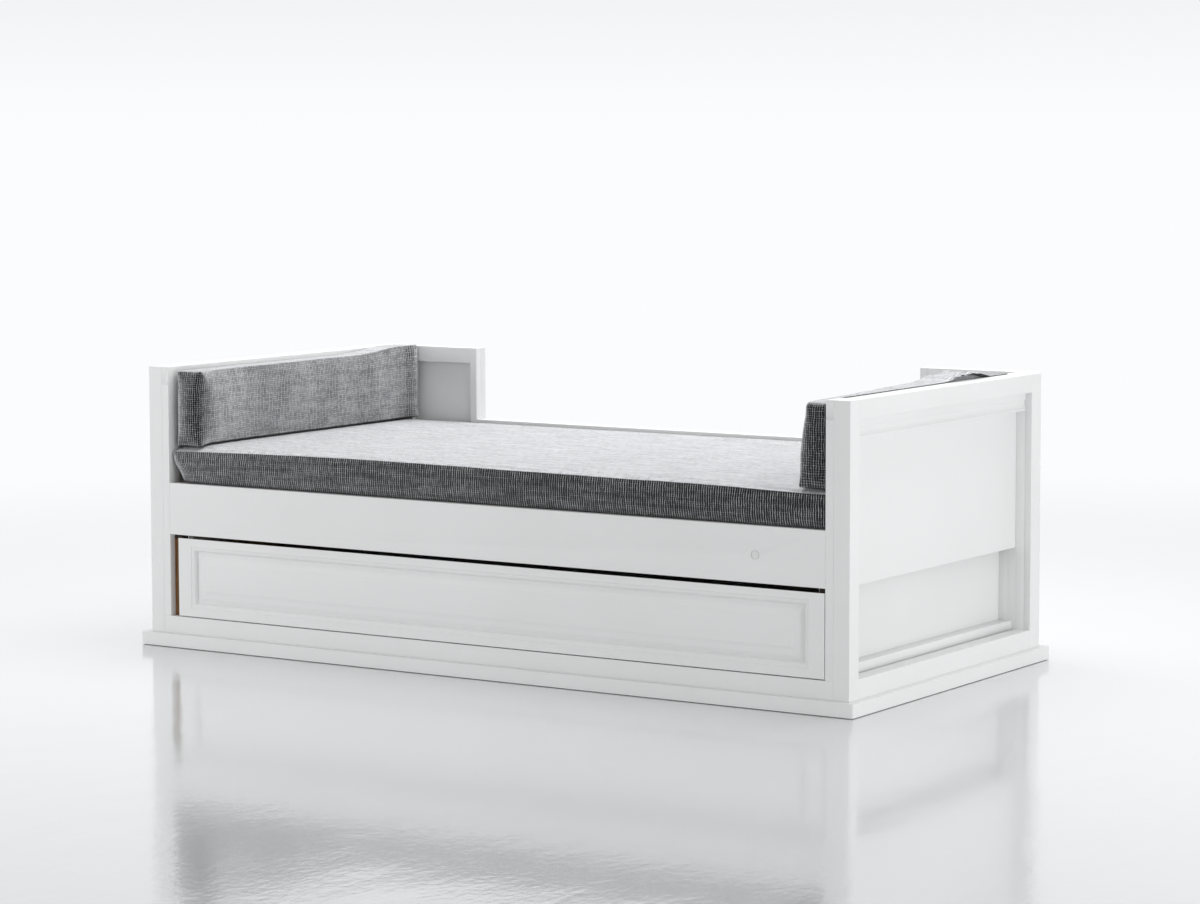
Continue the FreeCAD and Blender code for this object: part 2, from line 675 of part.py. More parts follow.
class Cushion:
    """A stuffed form: flat below, crowned on top, round at its edges and drawn in between its corners."""

    def __init__(self, along, ends, sides, bottom, height, soft):
        """Take the form's places, and read the soft sizes whose names start alike."""
        self.along = along
        self.low, self.high = (number(formula) for formula in ends)
        self.sides = tuple(number(formula) for formula in sides)
        self.bottom = number(bottom)
        self.top = self.bottom + number(height)
        self.edge = self.top - number(f"{soft}_crown")
        self.rounding = number(f"{soft}_rounding")
        self.foot = number(f"{soft}_foot_rounding")
        self.draw = number(f"{soft}_draw")

    def slice(self, position, pull, ease):
        """One slice across the form, pulled in at its sides and eased all round near an end."""
        lift = ease * EDGE_EASE_SHARE
        across = (self.sides[0] + pull + lift, self.sides[1] - pull - lift)
        bottom, edge = self.bottom + lift, self.edge - lift
        crown = self.top - ease * CROWN_EASE_SHARE
        return self.wire(position, across, bottom, edge, crown, self.foot, self.rounding)

    def wire(self, position, across, bottom, edge, crown, foot, rounding):
        """A closed outline: a flat bottom, sides with round corners, and a top that rises to its crown."""
        low, high = across
        foot_nook, nook = foot * ARC_NOOK_SHARE, rounding * ARC_NOOK_SHARE

        def point(u, w):
            place_ = (position, u, w) if self.along == "x" else (u, position, w)
            return FreeCAD.Vector(*place_)

        def arc(*points):
            return Part.Arc(*(point(*each) for each in points)).toShape()

        def line(*points):
            return Part.LineSegment(*(point(*each) for each in points)).toShape()

        return Part.Wire([
            line((low + foot, bottom), (high - foot, bottom)),
            arc((high - foot, bottom), (high - foot_nook, bottom + foot_nook), (high, bottom + foot)),
            line((high, bottom + foot), (high, edge - rounding)),
            arc((high, edge - rounding), (high - nook, edge - nook), (high - rounding, edge)),
            arc((high - rounding, edge), ((low + high) / 2, crown), (low + rounding, edge)),
            arc((low + rounding, edge), (low + nook, edge - nook), (low, edge - rounding)),
            line((low, edge - rounding), (low, bottom + foot)),
            arc((low, bottom + foot), (low + foot_nook, bottom + foot_nook), (low + foot, bottom)),
        ])

    def low_end(self):
        """The slices that round the low end off."""
        nook = self.rounding * ARC_NOOK_SHARE
        return [
            self.slice(self.low, 0, self.rounding),
            self.slice(self.low + nook, 0, nook),
            self.slice(self.low + self.rounding, 0, 0),
        ]

    def body(self):
        """The slices between the two ends, drawn in most in the middle."""
        quarter = (self.high - self.low) / 4
        middle = (self.low + self.high) / 2
        return [
            self.slice(middle - quarter, self.draw * QUARTER_DRAW_SHARE, 0),
            self.slice(middle, self.draw, 0),
            self.slice(middle + quarter, self.draw * QUARTER_DRAW_SHARE, 0),
        ]

    def high_end(self):
        """The slices that round the high end off."""
        nook = self.rounding * ARC_NOOK_SHARE
        return [
            self.slice(self.high - self.rounding, 0, 0),
            self.slice(self.high - nook, 0, nook),
            self.slice(self.high, 0, self.rounding),
        ]

    def tucked_end(self, tuck):
        """The slices of a low end whose foot is tucked under the form by a length."""
        foot = self.bottom + (self.top - self.bottom) * TUCK_HEIGHT_SHARE
        radius = (self.edge - foot) * TUCK_ROUNDING_SHARE
        inset = self.rounding * EDGE_EASE_SHARE
        across = (self.sides[0] + inset, self.sides[1] - inset)
        crown = (self.top + self.edge) / 2
        tip = self.wire(self.low, across, foot, self.edge - radius, crown, radius, radius)
        return [tip, self.slice(self.low + tuck, 0, 0)]

    def loft(self, label, slices):
        """Close the form over its slices and keep it."""
        form = document.addObject("Part::Feature", label)
        form.Shape = Part.makeLoft(slices, True, True)
        return keep(form, label)


def make_mattress():
    """The mattress: crowned, drawn in along its sides, and tucked under at its left end."""
    mattress = Cushion(
        "x", ("inside_left + mattress_end_gap", "inside_right - mattress_end_gap"),
        ("front + mattress_front_setback", "back - mattress_back_gap"),
        "mattress_bottom", "mattress_thickness", "mattress",
    )
    left_end = mattress.tucked_end(number("mattress_tuck"))
    mattress.loft("mattress", left_end + mattress.body() + mattress.high_end())


def make_bolsters():
    """The two long side cushions that stand on the mattress and lean on the ends."""
    along = ("front + bolster_front_setback", "back - bolster_back_gap")
    near = "lining_depth + bolster_end_gap"
    for end in ENDS:
        bolster = Cushion(
            "y", along, end.span(near, f"{near} + bolster_thickness"), "bolster_bottom",
            "bed_height - bolster_drop - bolster_bottom", "bolster",
        )
        bolster.loft(end.label("bolster"), bolster.low_end() + bolster.body() + bolster.high_end())


def make_drawer_front():
    """The drawer front: an ovolo step down from the border, then a bevel up to the raised field."""
    x = ("left + drawer_left_inset", "right - drawer_right_inset")
    z = ("drawer_front_bottom", "drawer_front_top")
    plain = ease_block(block("drawer_board", x, ("front", "drawer_front_back"), z))
    recess = frustum("drawer_recess", x, z, "0", "ovolo_width", "front", "ovolo_depth")
    field = frustum(
        "drawer_field", x, z, "ovolo_width + field_bevel_width", "ovolo_width", "front + field_setback",
        "ovolo_depth - field_setback",
    )
    sunk = document.addObject("Part::Cut", "sunk_board")
    sunk.Base, sunk.Tool = plain, recess
    fielded = document.addObject("Part::Fuse", "fielded_board")
    fielded.Base, fielded.Tool = sunk, field
    groove = block(
        "drawer_front_groove", drawer_groove_x(),
        ("drawer_front_back - drawer_groove_depth", "drawer_front_back + cut_overrun"), drawer_groove_z(),
    )
    front = document.addObject("Part::Cut", "drawer_front")
    front.Base, front.Tool = fielded, groove
    keep(front, "drawer_front")


def frustum(name, x, z, front_inset, back_inset, y, depth):
    """A block that tapers from one rectangle inside the border to another behind it."""
    piece = document.addObject("Part::Wedge", name)
    low = {"x": f"{x[0]} + drawer_border_side", "z": f"{z[0]} + drawer_border_edge"}
    high = {"x": f"{x[1]} - drawer_border_side", "z": f"{z[1]} - drawer_border_edge"}
    bind(
        piece, Ymin="0", Ymax=depth,
        Xmin=f"{low['x']} + {front_inset}", Xmax=f"{high['x']} - ({front_inset})",
        Zmin=f"{low['z']} + {front_inset}", Zmax=f"{high['z']} - ({front_inset})",
        X2min=f"{low['x']} + {back_inset}", X2max=f"{high['x']} - ({back_inset})",
        Z2min=f"{low['z']} + {back_inset}", Z2max=f"{high['z']} - ({back_inset})",
    )
    place(piece, "0", y, "0")
    return piece


def drawer_groove_x():
    """How far the bottom's groove runs along the drawer's front and back."""
    lap = "drawer_inner_depth - drawer_groove_depth"
    return f"left + {lap}", f"right - ({lap})"


def drawer_groove_z():
    """The height of the bottom's groove."""
    return "drawer_bottom_low - drawer_groove_clearance", "drawer_bottom_top + drawer_groove_clearance"


def make_drawer():
    """The drawer: front, sides, back and bottom in grooves, with the second mattress inside."""
    make_drawer_front()
    height = ("drawer_box_bottom", "drawer_box_top")
    length = ("drawer_front_back", "drawer_back_rear")
    past = (f"{length[0]} - cut_overrun", f"{length[1]} + cut_overrun")
    for end in ENDS:
        groove = end.span("drawer_inner_depth - drawer_groove_depth", "drawer_inner_depth + cut_overrun")
        board(
            f"drawer_{end.name}_side", "y", end.span("drawer_side_depth", "drawer_inner_depth"), length,
            height, [(groove, past, drawer_groove_z())],
        )
    inner = ("left + drawer_inner_depth", "right - (drawer_inner_depth)")
    past = (f"{inner[0]} - cut_overrun", f"{inner[1]} + cut_overrun")
    groove = ("drawer_back_front - cut_overrun", "drawer_back_front + drawer_groove_depth")
    board(
        "drawer_back", "x", inner, ("drawer_back_front", "drawer_back_rear"), height,
        [(past, groove, drawer_groove_z())],
    )
    lap = "drawer_groove_depth - panel_clearance"
    board(
        "drawer_bottom", "x", (f"{inner[0]} - ({lap})", f"{inner[1]} + {lap}"),
        (f"drawer_front_back - ({lap})", f"drawer_back_front + {lap}"),
        ("drawer_bottom_low", "drawer_bottom_top"),
    )
    mattress = Cushion(
        "x", (f"{inner[0]} + guest_mattress_gap", f"{inner[1]} - guest_mattress_gap"),
        ("drawer_front_back + guest_mattress_gap", "drawer_back_front - guest_mattress_gap"),
        "drawer_bottom_top + soft_gap", "guest_mattress_thickness", "guest_mattress",
    )
    mattress.loft("pull_out_mattress", mattress.low_end() + mattress.body() + mattress.high_end())


def channel(label, end, depth, facing, reach, half_height, flange):
    """A length of runner: a web and two flanges that face along or against the way to the bed's middle."""
    sign = "" if facing == "inward" else "-"
    corner = (end.at(depth), "runner_front", f"runner_centre_height - ({half_height})")
    hollow = f"2 * ({half_height}) - 2 * ({flange})"
    moves = [
        (end.run(f"{sign}({reach})"), ""),
        ("", flange),
        (end.run(f"-({sign}({reach} - runner_sheet))"), ""),
        ("", hollow),
        (end.run(f"{sign}({reach} - runner_sheet)"), ""),
        ("", flange),
        (end.run(f"-({sign}({reach}))"), ""),
    ]
    return prism(label, "y", corner, moves, "runner_length", False)


def make_runners():
    """Telescopic runners: each outer member on its cheek, the middle one in it, the inner on the drawer."""
    outer, inner = [], []
    middle_half = "runner_half_height - runner_sheet - runner_clearance"
    inner_half = f"{middle_half} - runner_race - runner_clearance"
    for end in ENDS:
        outer.append(channel(
            end.label("runner_outer"), end, "cheek_inner_depth", "inward", "runner_outer_reach",
            "runner_half_height", "runner_sheet",
        ))
        depth = "cheek_inner_depth + runner_sheet + runner_middle_gap"
        middle = channel(
            end.label("runner_middle"), end, depth, "inward", "runner_middle_reach", middle_half, "runner_race"
        )
        keep(middle, end.label("runner_middle"))
        inner.append(channel(
            end.label("runner_inner"), end, "drawer_side_depth", "outward", "runner_inner_reach", inner_half,
            "runner_sheet",
        ))
    group("runner_outers", outer)
    group("runner_inners", inner)


def check():
    """Stop if any object failed, or if a sub-part has no valid shape."""
    failed = [item.Name for item in document.Objects if {"Invalid", "Error"} & set(item.State)]
    if failed:
        raise RuntimeError(f"these objects failed: {failed}")
    for item in sub_parts:
        if item.Shape.isNull() or not item.Shape.isValid():
            raise RuntimeError(f"{item.Label} has no valid shape")
        print(f"{item.Label}: {len(item.Shape.Solids)} solids, {item.Shape.Volume:.0f} mm3")


def write_out():
    """Write each sub-part to a file of its own name."""
    os.makedirs("parts", exist_ok=True)
    for item in sub_parts:
        item.Shape.exportStep(f"parts/{item.Label}.step")


def main():
    """Build the bed, from the floor up."""
    fill_sheet()
    make_plinth()
    for end in ENDS:
        make_end_frame(end)
        make_end_lining(end)
    make_cheeks()
    make_front()
    make_back()
    make_bed_base()
    make_brackets()
    make_mattress()
    make_bolsters()
    make_drawer()
    make_runners()
    document.recompute()
    check()
    write_out()


main()
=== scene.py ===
import logging
import math
from dataclasses import dataclass
from enum import Enum
from functools import cache
from typing import Iterable, Sequence

import bmesh
import bpy
import numpy as np
from mathutils import Matrix, Vector, noise


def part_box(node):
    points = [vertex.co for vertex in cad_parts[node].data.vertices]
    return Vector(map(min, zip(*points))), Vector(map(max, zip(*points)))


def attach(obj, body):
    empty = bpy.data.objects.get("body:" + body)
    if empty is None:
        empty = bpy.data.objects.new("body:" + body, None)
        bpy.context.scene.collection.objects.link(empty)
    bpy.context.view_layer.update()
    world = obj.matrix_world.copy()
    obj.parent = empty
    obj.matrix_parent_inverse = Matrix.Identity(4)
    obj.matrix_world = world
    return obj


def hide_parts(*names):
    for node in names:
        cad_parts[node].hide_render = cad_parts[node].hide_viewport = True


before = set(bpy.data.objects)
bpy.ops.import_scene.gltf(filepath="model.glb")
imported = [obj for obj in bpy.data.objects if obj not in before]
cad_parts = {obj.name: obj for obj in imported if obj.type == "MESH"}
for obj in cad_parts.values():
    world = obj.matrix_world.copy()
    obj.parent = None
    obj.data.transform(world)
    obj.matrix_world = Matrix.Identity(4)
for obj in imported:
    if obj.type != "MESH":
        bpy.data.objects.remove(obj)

# Dresses the pull-out bench bed: satin white paint on every board, a moulded drawer front, a mattress and two
# bolsters in a black and white woven cloth, and the drawer with its own mattress. All sizes are in metres, in
# the bed's own frame: +X to its right end, +Y to its back, +Z up, with the origin on the floor.

log = logging.getLogger("bench_bed")
Point = tuple[float, float, float]
Colour = tuple[float, float, float, float]
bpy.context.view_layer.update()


def grey(level: float, blue: float = 0.0) -> Colour:
    """A grey of one level, with a little more or less blue in it."""
    return (level, level, level + blue, 1.0)


class Value:
    """A number or colour on its way through a material, with Python's own operators."""

    def __init__(self, tree: "Tree", socket: bpy.types.NodeSocket) -> None:
        """Hold the socket that the number comes from."""
        self.tree = tree
        self.socket = socket

    def math(self, operation: str, *others: "Value | float") -> "Value":
        """One Math node on this number and others.

        Args:
            operation: the Math node's operation.
            others: its further numbers, in order.

        Returns:
            The number that comes out.
        """
        inputs = dict(enumerate((self, *others)))
        return self.tree.read("ShaderNodeMath", {"operation": operation}, inputs)

    def reflected(self, operation: str, other: float) -> "Value":
        """One Math node with a plain number first and this one second."""
        return self.tree.read("ShaderNodeMath", {"operation": operation}, {0: other, 1: self})

    def __add__(self, other: "Value | float") -> "Value":
        """The sum of two numbers."""
        return self.math("ADD", other)

    __radd__ = __add__

    def __sub__(self, other: "Value | float") -> "Value":
        """One number less another."""
        return self.math("SUBTRACT", other)

    def __rsub__(self, other: float) -> "Value":
        """A plain number less this one."""
        return self.reflected("SUBTRACT", other)

    def __mul__(self, other: "Value | float") -> "Value":
        """The product of two numbers."""
        return self.math("MULTIPLY", other)

    __rmul__ = __mul__

    def __truediv__(self, other: "Value | float") -> "Value":
        """One number divided by another."""
        return self.math("DIVIDE", other)

    def floor(self) -> "Value":
        """The whole number below."""
        return self.math("FLOOR")

    def part(self) -> "Value":
        """What is left over the whole number below."""
        return self.math("FRACT")

    def less(self, limit: float) -> "Value":
        """1 where the number is under a limit, else 0."""
        return self.math("LESS_THAN", limit)

    def power(self, exponent: float) -> "Value":
        """The number to a power."""
        return self.math("POWER", exponent)

    def size(self) -> "Value":
        """The number without its sign."""
        return self.math("ABSOLUTE")

    def capped(self) -> "Value":
        """The number, but never more than 1."""
        return self.math("MINIMUM", 1.0)

    def wrap(self, count: float) -> "Value":
        """What is left over after whole counts."""
        return self.math("FLOORED_MODULO", count)

    def wave(self) -> "Value":
        """The sine of the number."""
        return self.math("SINE")

    def ramp(self, low: float, high: float, start: float = 0.0, end: float = 1.0) -> "Value":
        """A smooth step from start at low to end at high.

        Args:
            low: the number where the step begins.
            high: the number where it ends.
            start: what comes out below low.
            end: what comes out above high.

        Returns:
            The stepped number.
        """
        settings = {"interpolation_type": "SMOOTHSTEP"}
        inputs = {"Value": self, "From Min": low, "From Max": high, "To Min": start, "To Max": end}
        return self.tree.read("ShaderNodeMapRange", settings, inputs)


class Tree:
    """The nodes of one material or of the world."""

    def __init__(self, owner: bpy.types.Material | bpy.types.World) -> None:
        """Empty the owner's nodes and keep them."""
        owner.use_nodes = True
        self.nodes = owner.node_tree.nodes
        self.links = owner.node_tree.links
        self.nodes.clear()

    def node(self, kind: str, settings: dict | None = None, inputs: dict | None = None) -> bpy.types.Node:
        """Add one node.

        Args:
            kind: the node's type.
            settings: its own settings.
            inputs: what its sockets hold, by name or index: a Value, a socket or a plain value.

        Returns:
            The node.
        """
        node = self.nodes.new(kind)
        for name, setting in (settings or {}).items():
            setattr(node, name, setting)
        for key, held in (inputs or {}).items():
            source = held.socket if isinstance(held, Value) else held
            if isinstance(source, bpy.types.NodeSocket):
                self.links.new(source, node.inputs[key])
            else:
                node.inputs[key].default_value = source
        return node

    def read(self, kind: str, settings: dict | None = None, inputs: dict | None = None,
             output: int | str = 0) -> Value:
        """Add one node and take one of its outputs."""
        return Value(self, self.node(kind, settings, inputs).outputs[output])

    def place(self) -> Value:
        """The point on the piece, in the bed's frame."""
        return self.read("ShaderNodeTexCoord", output="Object")

    def axes(self, vector: Value) -> tuple[Value, Value, Value]:
        """The three numbers of a point."""
        split = self.node("ShaderNodeSeparateXYZ", None, {0: vector})
        return tuple(Value(self, socket) for socket in split.outputs)

    def stretch(self, vector: Value, scale: Point, turn: Point = (0.0, 0.0, 0.0)) -> Value:
        """A point with each axis stretched by its own scale, after a turn."""
        return self.read("ShaderNodeMapping", None, {"Vector": vector, "Scale": scale, "Rotation": turn})

    def join(self, x: Value | float, y: Value | float, z: Value | float = 0.0) -> Value:
        """A point from its three numbers."""
        return self.read("ShaderNodeCombineXYZ", None, {0: x, 1: y, 2: z})

    def cloud(self, vector: Value, scale: float, detail: float = 2.0) -> Value:
        """Soft noise between 0 and 1 round a middle of a half."""
        return self.read("ShaderNodeTexNoise", None, {"Vector": vector, "Scale": scale, "Detail": detail})

    def mix(self, share: Value | float, first: "Value | Colour", second: "Value | Colour") -> Value:
        """A colour between two others.

        Args:
            share: how much of the second colour, from 0 to 1.
            first: the colour at 0.
            second: the colour at 1.

        Returns:
            The mixed colour.
        """
        return self.read("ShaderNodeMix", {"data_type": "RGBA"}, {0: share, 6: first, 7: second}, 2)

    def bump(self, height: Value, depth: float, under: Value | None = None) -> Value:
        """A relief of a real depth, laid over another one if there is one."""
        inputs = {"Height": height, "Distance": depth, "Strength": 1.0}
        if under is not None:
            inputs["Normal"] = under
        return self.read("ShaderNodeBump", None, inputs)

    def show(self, shader: Value, kind: str = "ShaderNodeOutputMaterial") -> None:
        """Put a shader on the surface."""
        self.node(kind, None, {"Surface": shader})


class Grain(Enum):
    """Which way a board's grain runs, as the stretch of its noise along each axis."""

    X = (0.05, 1.0, 1.0)
    Y = (1.0, 0.05, 1.0)
    Z = (1.0, 1.0, 0.05)


@dataclass(frozen=True)
class Finish:
    """One finish, made into a material the first time that it is asked for."""

    name: str

    def material(self) -> bpy.types.Material:
        """The material of this finish."""
        found = bpy.data.materials.get(self.name)
        if found is None:
            found = bpy.data.materials.new(self.name)
            self.paint(Tree(found))
        return found

    def paint(self, tree: Tree) -> None:
        """Lay the finish on a material's nodes."""
        raise NotImplementedError

    def surface(self, tree: Tree, colour: Value | Colour, roughness: Value | float,
                normal: Value | None = None, **constants: float | Colour) -> None:
        """Close a material with one surface shader.

        Args:
            tree: the material's nodes.
            colour: the base colour.
            roughness: the roughness.
            normal: the relief, if there is one.
            constants: other sockets of the shader, with _ for a space.
        """
        inputs = {"Base Color": colour, "Roughness": roughness}
        if normal is not None:
            inputs["Normal"] = normal
        for key, held in constants.items():
            inputs[key.replace("_", " ")] = held
        tree.show(tree.read("ShaderNodeBsdfPrincipled", None, inputs))


@dataclass(frozen=True)
class SatinPaint(Finish):
    """Satin white lacquer on wood: a faint grain under it, a fine roller texture and soft mottling."""

    grain: Grain = Grain.X
    white: Colour = (0.80, 0.806, 0.806, 1.0)
    shade: Colour = (0.745, 0.75, 0.745, 1.0)
    base_roughness: float = 0.36
    grain_scale: float = 95.0
    grain_depth: float = 0.000015
    roller_scale: float = 420.0
    roller_depth: float = 0.000045
    mottle_scale: float = 2.6
    mottle_share: float = 0.40
    scuff_scale: float = 23.0
    scuff_share: float = 0.10
    scuff_tone: Colour = grey(0.66, -0.01)

    def paint(self, tree: Tree) -> None:
        """Lay the lacquer."""
        place = tree.place()
        mottle = tree.cloud(place, self.mottle_scale, 3.0)
        streak = tree.cloud(tree.stretch(place, self.grain.value), self.grain_scale, 4.0)
        roller = tree.cloud(place, self.roller_scale, 2.0)
        scuff = tree.cloud(tree.stretch(place, (1.0, 1.0, 1.6)), self.scuff_scale, 5.0).ramp(0.66, 0.82)
        colour = tree.mix(mottle.ramp(0.3, 0.75) * self.mottle_share + streak * 0.08, self.white, self.shade)
        colour = tree.mix(scuff * self.scuff_share, colour, self.scuff_tone)
        relief = tree.bump(roller, self.roller_depth, tree.bump(streak, self.grain_depth))
        roughness = mottle * 0.10 + streak * 0.06 + scuff * 0.12 + (self.base_roughness - 0.08)
        self.surface(tree, colour, roughness, relief, Specular_IOR_Level=0.5)


@dataclass(frozen=True)
class RawPine(Finish):
    """Planed bare pine: early and late wood in long flames, fine pores and a few small knots."""

    grain: Grain = Grain.Z
    pale: Colour = (0.58, 0.345, 0.150, 1.0)
    late: Colour = (0.36, 0.160, 0.048, 1.0)
    knot: Colour = (0.13, 0.050, 0.018, 1.0)
    # A painted shadow: the near-black tone, the height above which it covers the wood, and how soon it fades in.
    painted_slot_shadow: Colour = (0.012, 0.009, 0.007, 1.0)
    shadow_from_height: float = 9.0
    shadow_fade: float = 0.004
    ring_count: float = 62.0
    knot_scale: float = 11.0
    pore_scale: float = 900.0

    def paint(self, tree: Tree) -> None:
        """Lay the bare wood, with a painted shadow, near black, above a given height."""
        place = tree.place()
        long = tree.stretch(place, self.grain.value)
        flame = tree.cloud(long, 26.0, 2.0)
        rings = ((flame * self.ring_count).wave() * 0.5 + 0.5).power(2.2)
        pores = tree.cloud(long, self.pore_scale, 2.0)
        cells = {"Vector": tree.stretch(place, tuple(0.35 if part < 1 else 1.0 for part in self.grain.value)),
                 "Scale": self.knot_scale}
        eye = tree.read("ShaderNodeTexVoronoi", None, cells).ramp(0.05, 0.17, 1.0, 0.0)
        colour = tree.mix(rings * 0.75 + pores * 0.2, self.pale, self.late)
        colour = tree.mix(eye * 0.8, colour, self.knot)
        # Painted shadow: above the set height the wood goes near black, standing in for the shade in the slot over
        # the drawer front.
        dark_above_mask = tree.axes(place)[2].ramp(self.shadow_from_height, self.shadow_from_height + self.shadow_fade)
        colour = tree.mix(dark_above_mask * 0.92, colour, self.painted_slot_shadow)
        relief = tree.bump(rings * 0.4 + pores * 0.6, 0.0001)
        self.surface(tree, colour, 0.58 + rings * -0.1, relief, Specular_IOR_Level=0.35)


@dataclass(frozen=True)
class DrawerPly(Finish):
    """Birch plywood: calm pale faces, and thin dark and light layers on the cut edges."""

    grain: Grain = Grain.Y
    face: Colour = (0.66, 0.50, 0.315, 1.0)
    figure: Colour = (0.56, 0.395, 0.225, 1.0)
    layer: Colour = (0.33, 0.20, 0.105, 1.0)
    layer_pitch: float = 0.0028
    figure_scale: float = 60.0
    speck_scale: float = 700.0

    def paint(self, tree: Tree) -> None:
        """Lay the plywood."""
        place = tree.place()
        figure = tree.cloud(tree.stretch(place, self.grain.value), self.figure_scale, 4.0)
        speck = tree.cloud(place, self.speck_scale, 1.0)
        x, y, z = tree.axes(place)
        up = tree.axes(tree.read("ShaderNodeNewGeometry", output="Normal"))[2].size().ramp(0.9, 0.99)
        across = x if self.grain is Grain.Y else y
        layers = (across * (2 * math.pi / self.layer_pitch)).wave().ramp(-0.2, 0.3)
        colour = tree.mix(figure.ramp(0.3, 0.7), self.face, self.figure)
        colour = tree.mix(layers * up * 0.7, colour, self.layer)
        relief = tree.bump(figure * 0.5 + speck * 0.5, 0.00008)
        self.surface(tree, colour, 0.5 + speck * 0.1, relief, Specular_IOR_Level=0.4)


@dataclass(frozen=True)
class WovenCloth(Finish):
    """A plain weave of dark yarn with a light yarn at every fourth place both ways, with slubs and a nap.

    The weave follows the piece's own UV map, which is in metres along and across each panel. The light yarns
    stand proud, so a slanting look shows more of their nap and less of the dark ground.
    """

    light: Colour = (0.80, 0.81, 0.83, 1.0)
    dark: Colour = (0.006, 0.006, 0.007, 1.0)
    nap_light: Colour = (0.76, 0.77, 0.79, 1.0)
    nap_shade: Colour = (0.35, 0.355, 0.37, 1.0)
    yarn: float = 0.00165
    pick: float = 0.0014
    repeat: int = 4
    light_width: float = 0.22
    warp_share: float = 0.33
    weft_share: float = 0.21
    weft_dash: float = 0.15
    waver: float = 0.006
    light_edge: float = 0.06
    mottle: float = 0.10
    fleck_share: float = 0.04
    relief_depth: float = 0.0004
    roughness: float = 0.95
    sheen: float = 0.12
    nap_slant: tuple[float, float] = (0.12, 0.66)
    nap_base: float = 0.88

    def paint(self, tree: Tree) -> None:
        """Lay the weave."""
        cloth = tree.read("ShaderNodeUVMap", {"uv_map": "cloth"})
        along, across, _ = tree.axes(cloth)
        sway = tree.cloud(cloth, 46.0, 3.0) - 0.5
        lean = tree.cloud(tree.stretch(cloth, (1.0, 1.0, 1.0), (0.0, 0.0, 0.7)), 37.0, 3.0) - 0.5
        u = (along + sway * self.waver) * (1.0 / self.yarn)
        w = (across + lean * self.waver) * (1.0 / self.pick)
        over = (u.floor() + w.floor()).wrap(2.0).less(0.5)
        warp_run = tree.cloud(tree.join(u * 0.25, w * 0.06, 2.0), 1.0, 2.0)
        weft_run = tree.cloud(tree.join(u * self.weft_dash, w * 0.25, 9.0), 1.0, 2.0)
        band = tree.cloud(tree.join(along * 7.0, across * 58.0, 4.0), 1.0, 3.0)
        warp_line = self.light_yarn(u) * warp_run.ramp(0.32, 0.62, 0.45, 1.2)
        weft_line = self.light_yarn(w) * weft_run.ramp(0.36, 0.64, 0.2, 1.2)
        lines = (warp_line * (over * 0.5 + 0.75) * self.warp_share
                 + weft_line * (1.25 - over * 0.5) * self.weft_share)
        fleck = tree.cloud(cloth, 900.0, 1.0).ramp(0.60, 0.72) * self.fleck_share
        shine = (lines * band.ramp(0.34, 0.62, 1.0 - self.mottle * 2, 1.0 + self.mottle) + fleck).capped()
        colour = tree.mix(shine, self.dark, self.light)
        round_u = 1.0 - (u.part() * 2.0 - 1.0).power(2.0)
        round_w = 1.0 - (w.part() * 2.0 - 1.0).power(2.0)
        height = over * (round_u * 0.6 + round_w * 0.4) + (1.0 - over) * (round_w * 0.6 + round_u * 0.4)
        relief = tree.bump(height * (shine * 0.5 + 0.6) + warp_run * 0.5, self.relief_depth)
        streaks = (warp_run + weft_run) * 0.3 + band * 0.4
        nap_tone = (streaks.ramp(0.36, 0.62) * 0.60 + lines * 2.0).capped()
        nap_colour = tree.mix(nap_tone, self.nap_shade, self.nap_light)
        slant = tree.read("ShaderNodeLayerWeight", None, {"Blend": 0.5}, "Facing")
        ground = self.close(tree, colour, relief)
        nap = self.close(tree, nap_colour, relief)
        # Painted shade: cloth that faces down gets no nap and shows only the dark ground, standing in for the shadow
        # in the gaps under the cushions.
        underside_shade_cut = tree.axes(tree.read("ShaderNodeNewGeometry", output="Normal"))[2].ramp(-0.5, -0.08)
        share = (slant.ramp(*self.nap_slant) * (lines + self.nap_base)).capped() * underside_shade_cut
        tree.show(tree.read("ShaderNodeMixShader", None, {0: share, 1: ground, 2: nap}))

    def light_yarn(self, count: Value) -> Value:
        """1 on each light yarn and 0 on the dark ones, with soft sides."""
        off = ((count * (1.0 / self.repeat)).part() - 0.5).size()
        half = self.light_width * 0.5
        return off.ramp(half - self.light_edge, half + self.light_edge, 1.0, 0.0)

    def close(self, tree: Tree, colour: Value, relief: Value) -> Value:
        """One rough cloth shader."""
        inputs = {"Base Color": colour, "Roughness": self.roughness, "Normal": relief,
                  "Specular IOR Level": 0.12, "Sheen Weight": self.sheen, "Sheen Roughness": 0.4}
        return tree.read("ShaderNodeBsdfPrincipled", None, inputs)


@dataclass(frozen=True)
class Ticking(Finish):
    """Charcoal cotton ticking with thin pale stripes, for the mattress in the drawer."""

    cotton: Colour = (0.030, 0.031, 0.034, 1.0)
    stripe: Colour = (0.30, 0.30, 0.29, 1.0)
    pitch: float = 0.024
    twill_pitch: float = 0.0014

    def paint(self, tree: Tree) -> None:
        """Lay the ticking."""
        cloth = tree.read("ShaderNodeUVMap", {"uv_map": "cloth"})
        along, across, _ = tree.axes(cloth)
        place = (along / self.pitch).part()
        wide = place.ramp(0.40, 0.42) * place.ramp(0.50, 0.52, 1.0, 0.0)
        thin = place.ramp(0.60, 0.61) * place.ramp(0.63, 0.64, 1.0, 0.0)
        twill = ((along + across) * (2 * math.pi / self.twill_pitch)).wave()
        slub = tree.cloud(tree.stretch(cloth, (1.0, 0.05, 1.0)), 500.0, 2.0)
        colour = tree.mix(wide * 0.8 + thin * 0.8, self.cotton, self.stripe)
        colour = tree.mix(slub.ramp(0.4, 0.8) * 0.18, colour, grey(0.08))
        relief = tree.bump(twill * 0.3 + slub, 0.00015)
        self.surface(tree, colour, 0.88, relief, Sheen_Weight=0.25, Specular_IOR_Level=0.2)


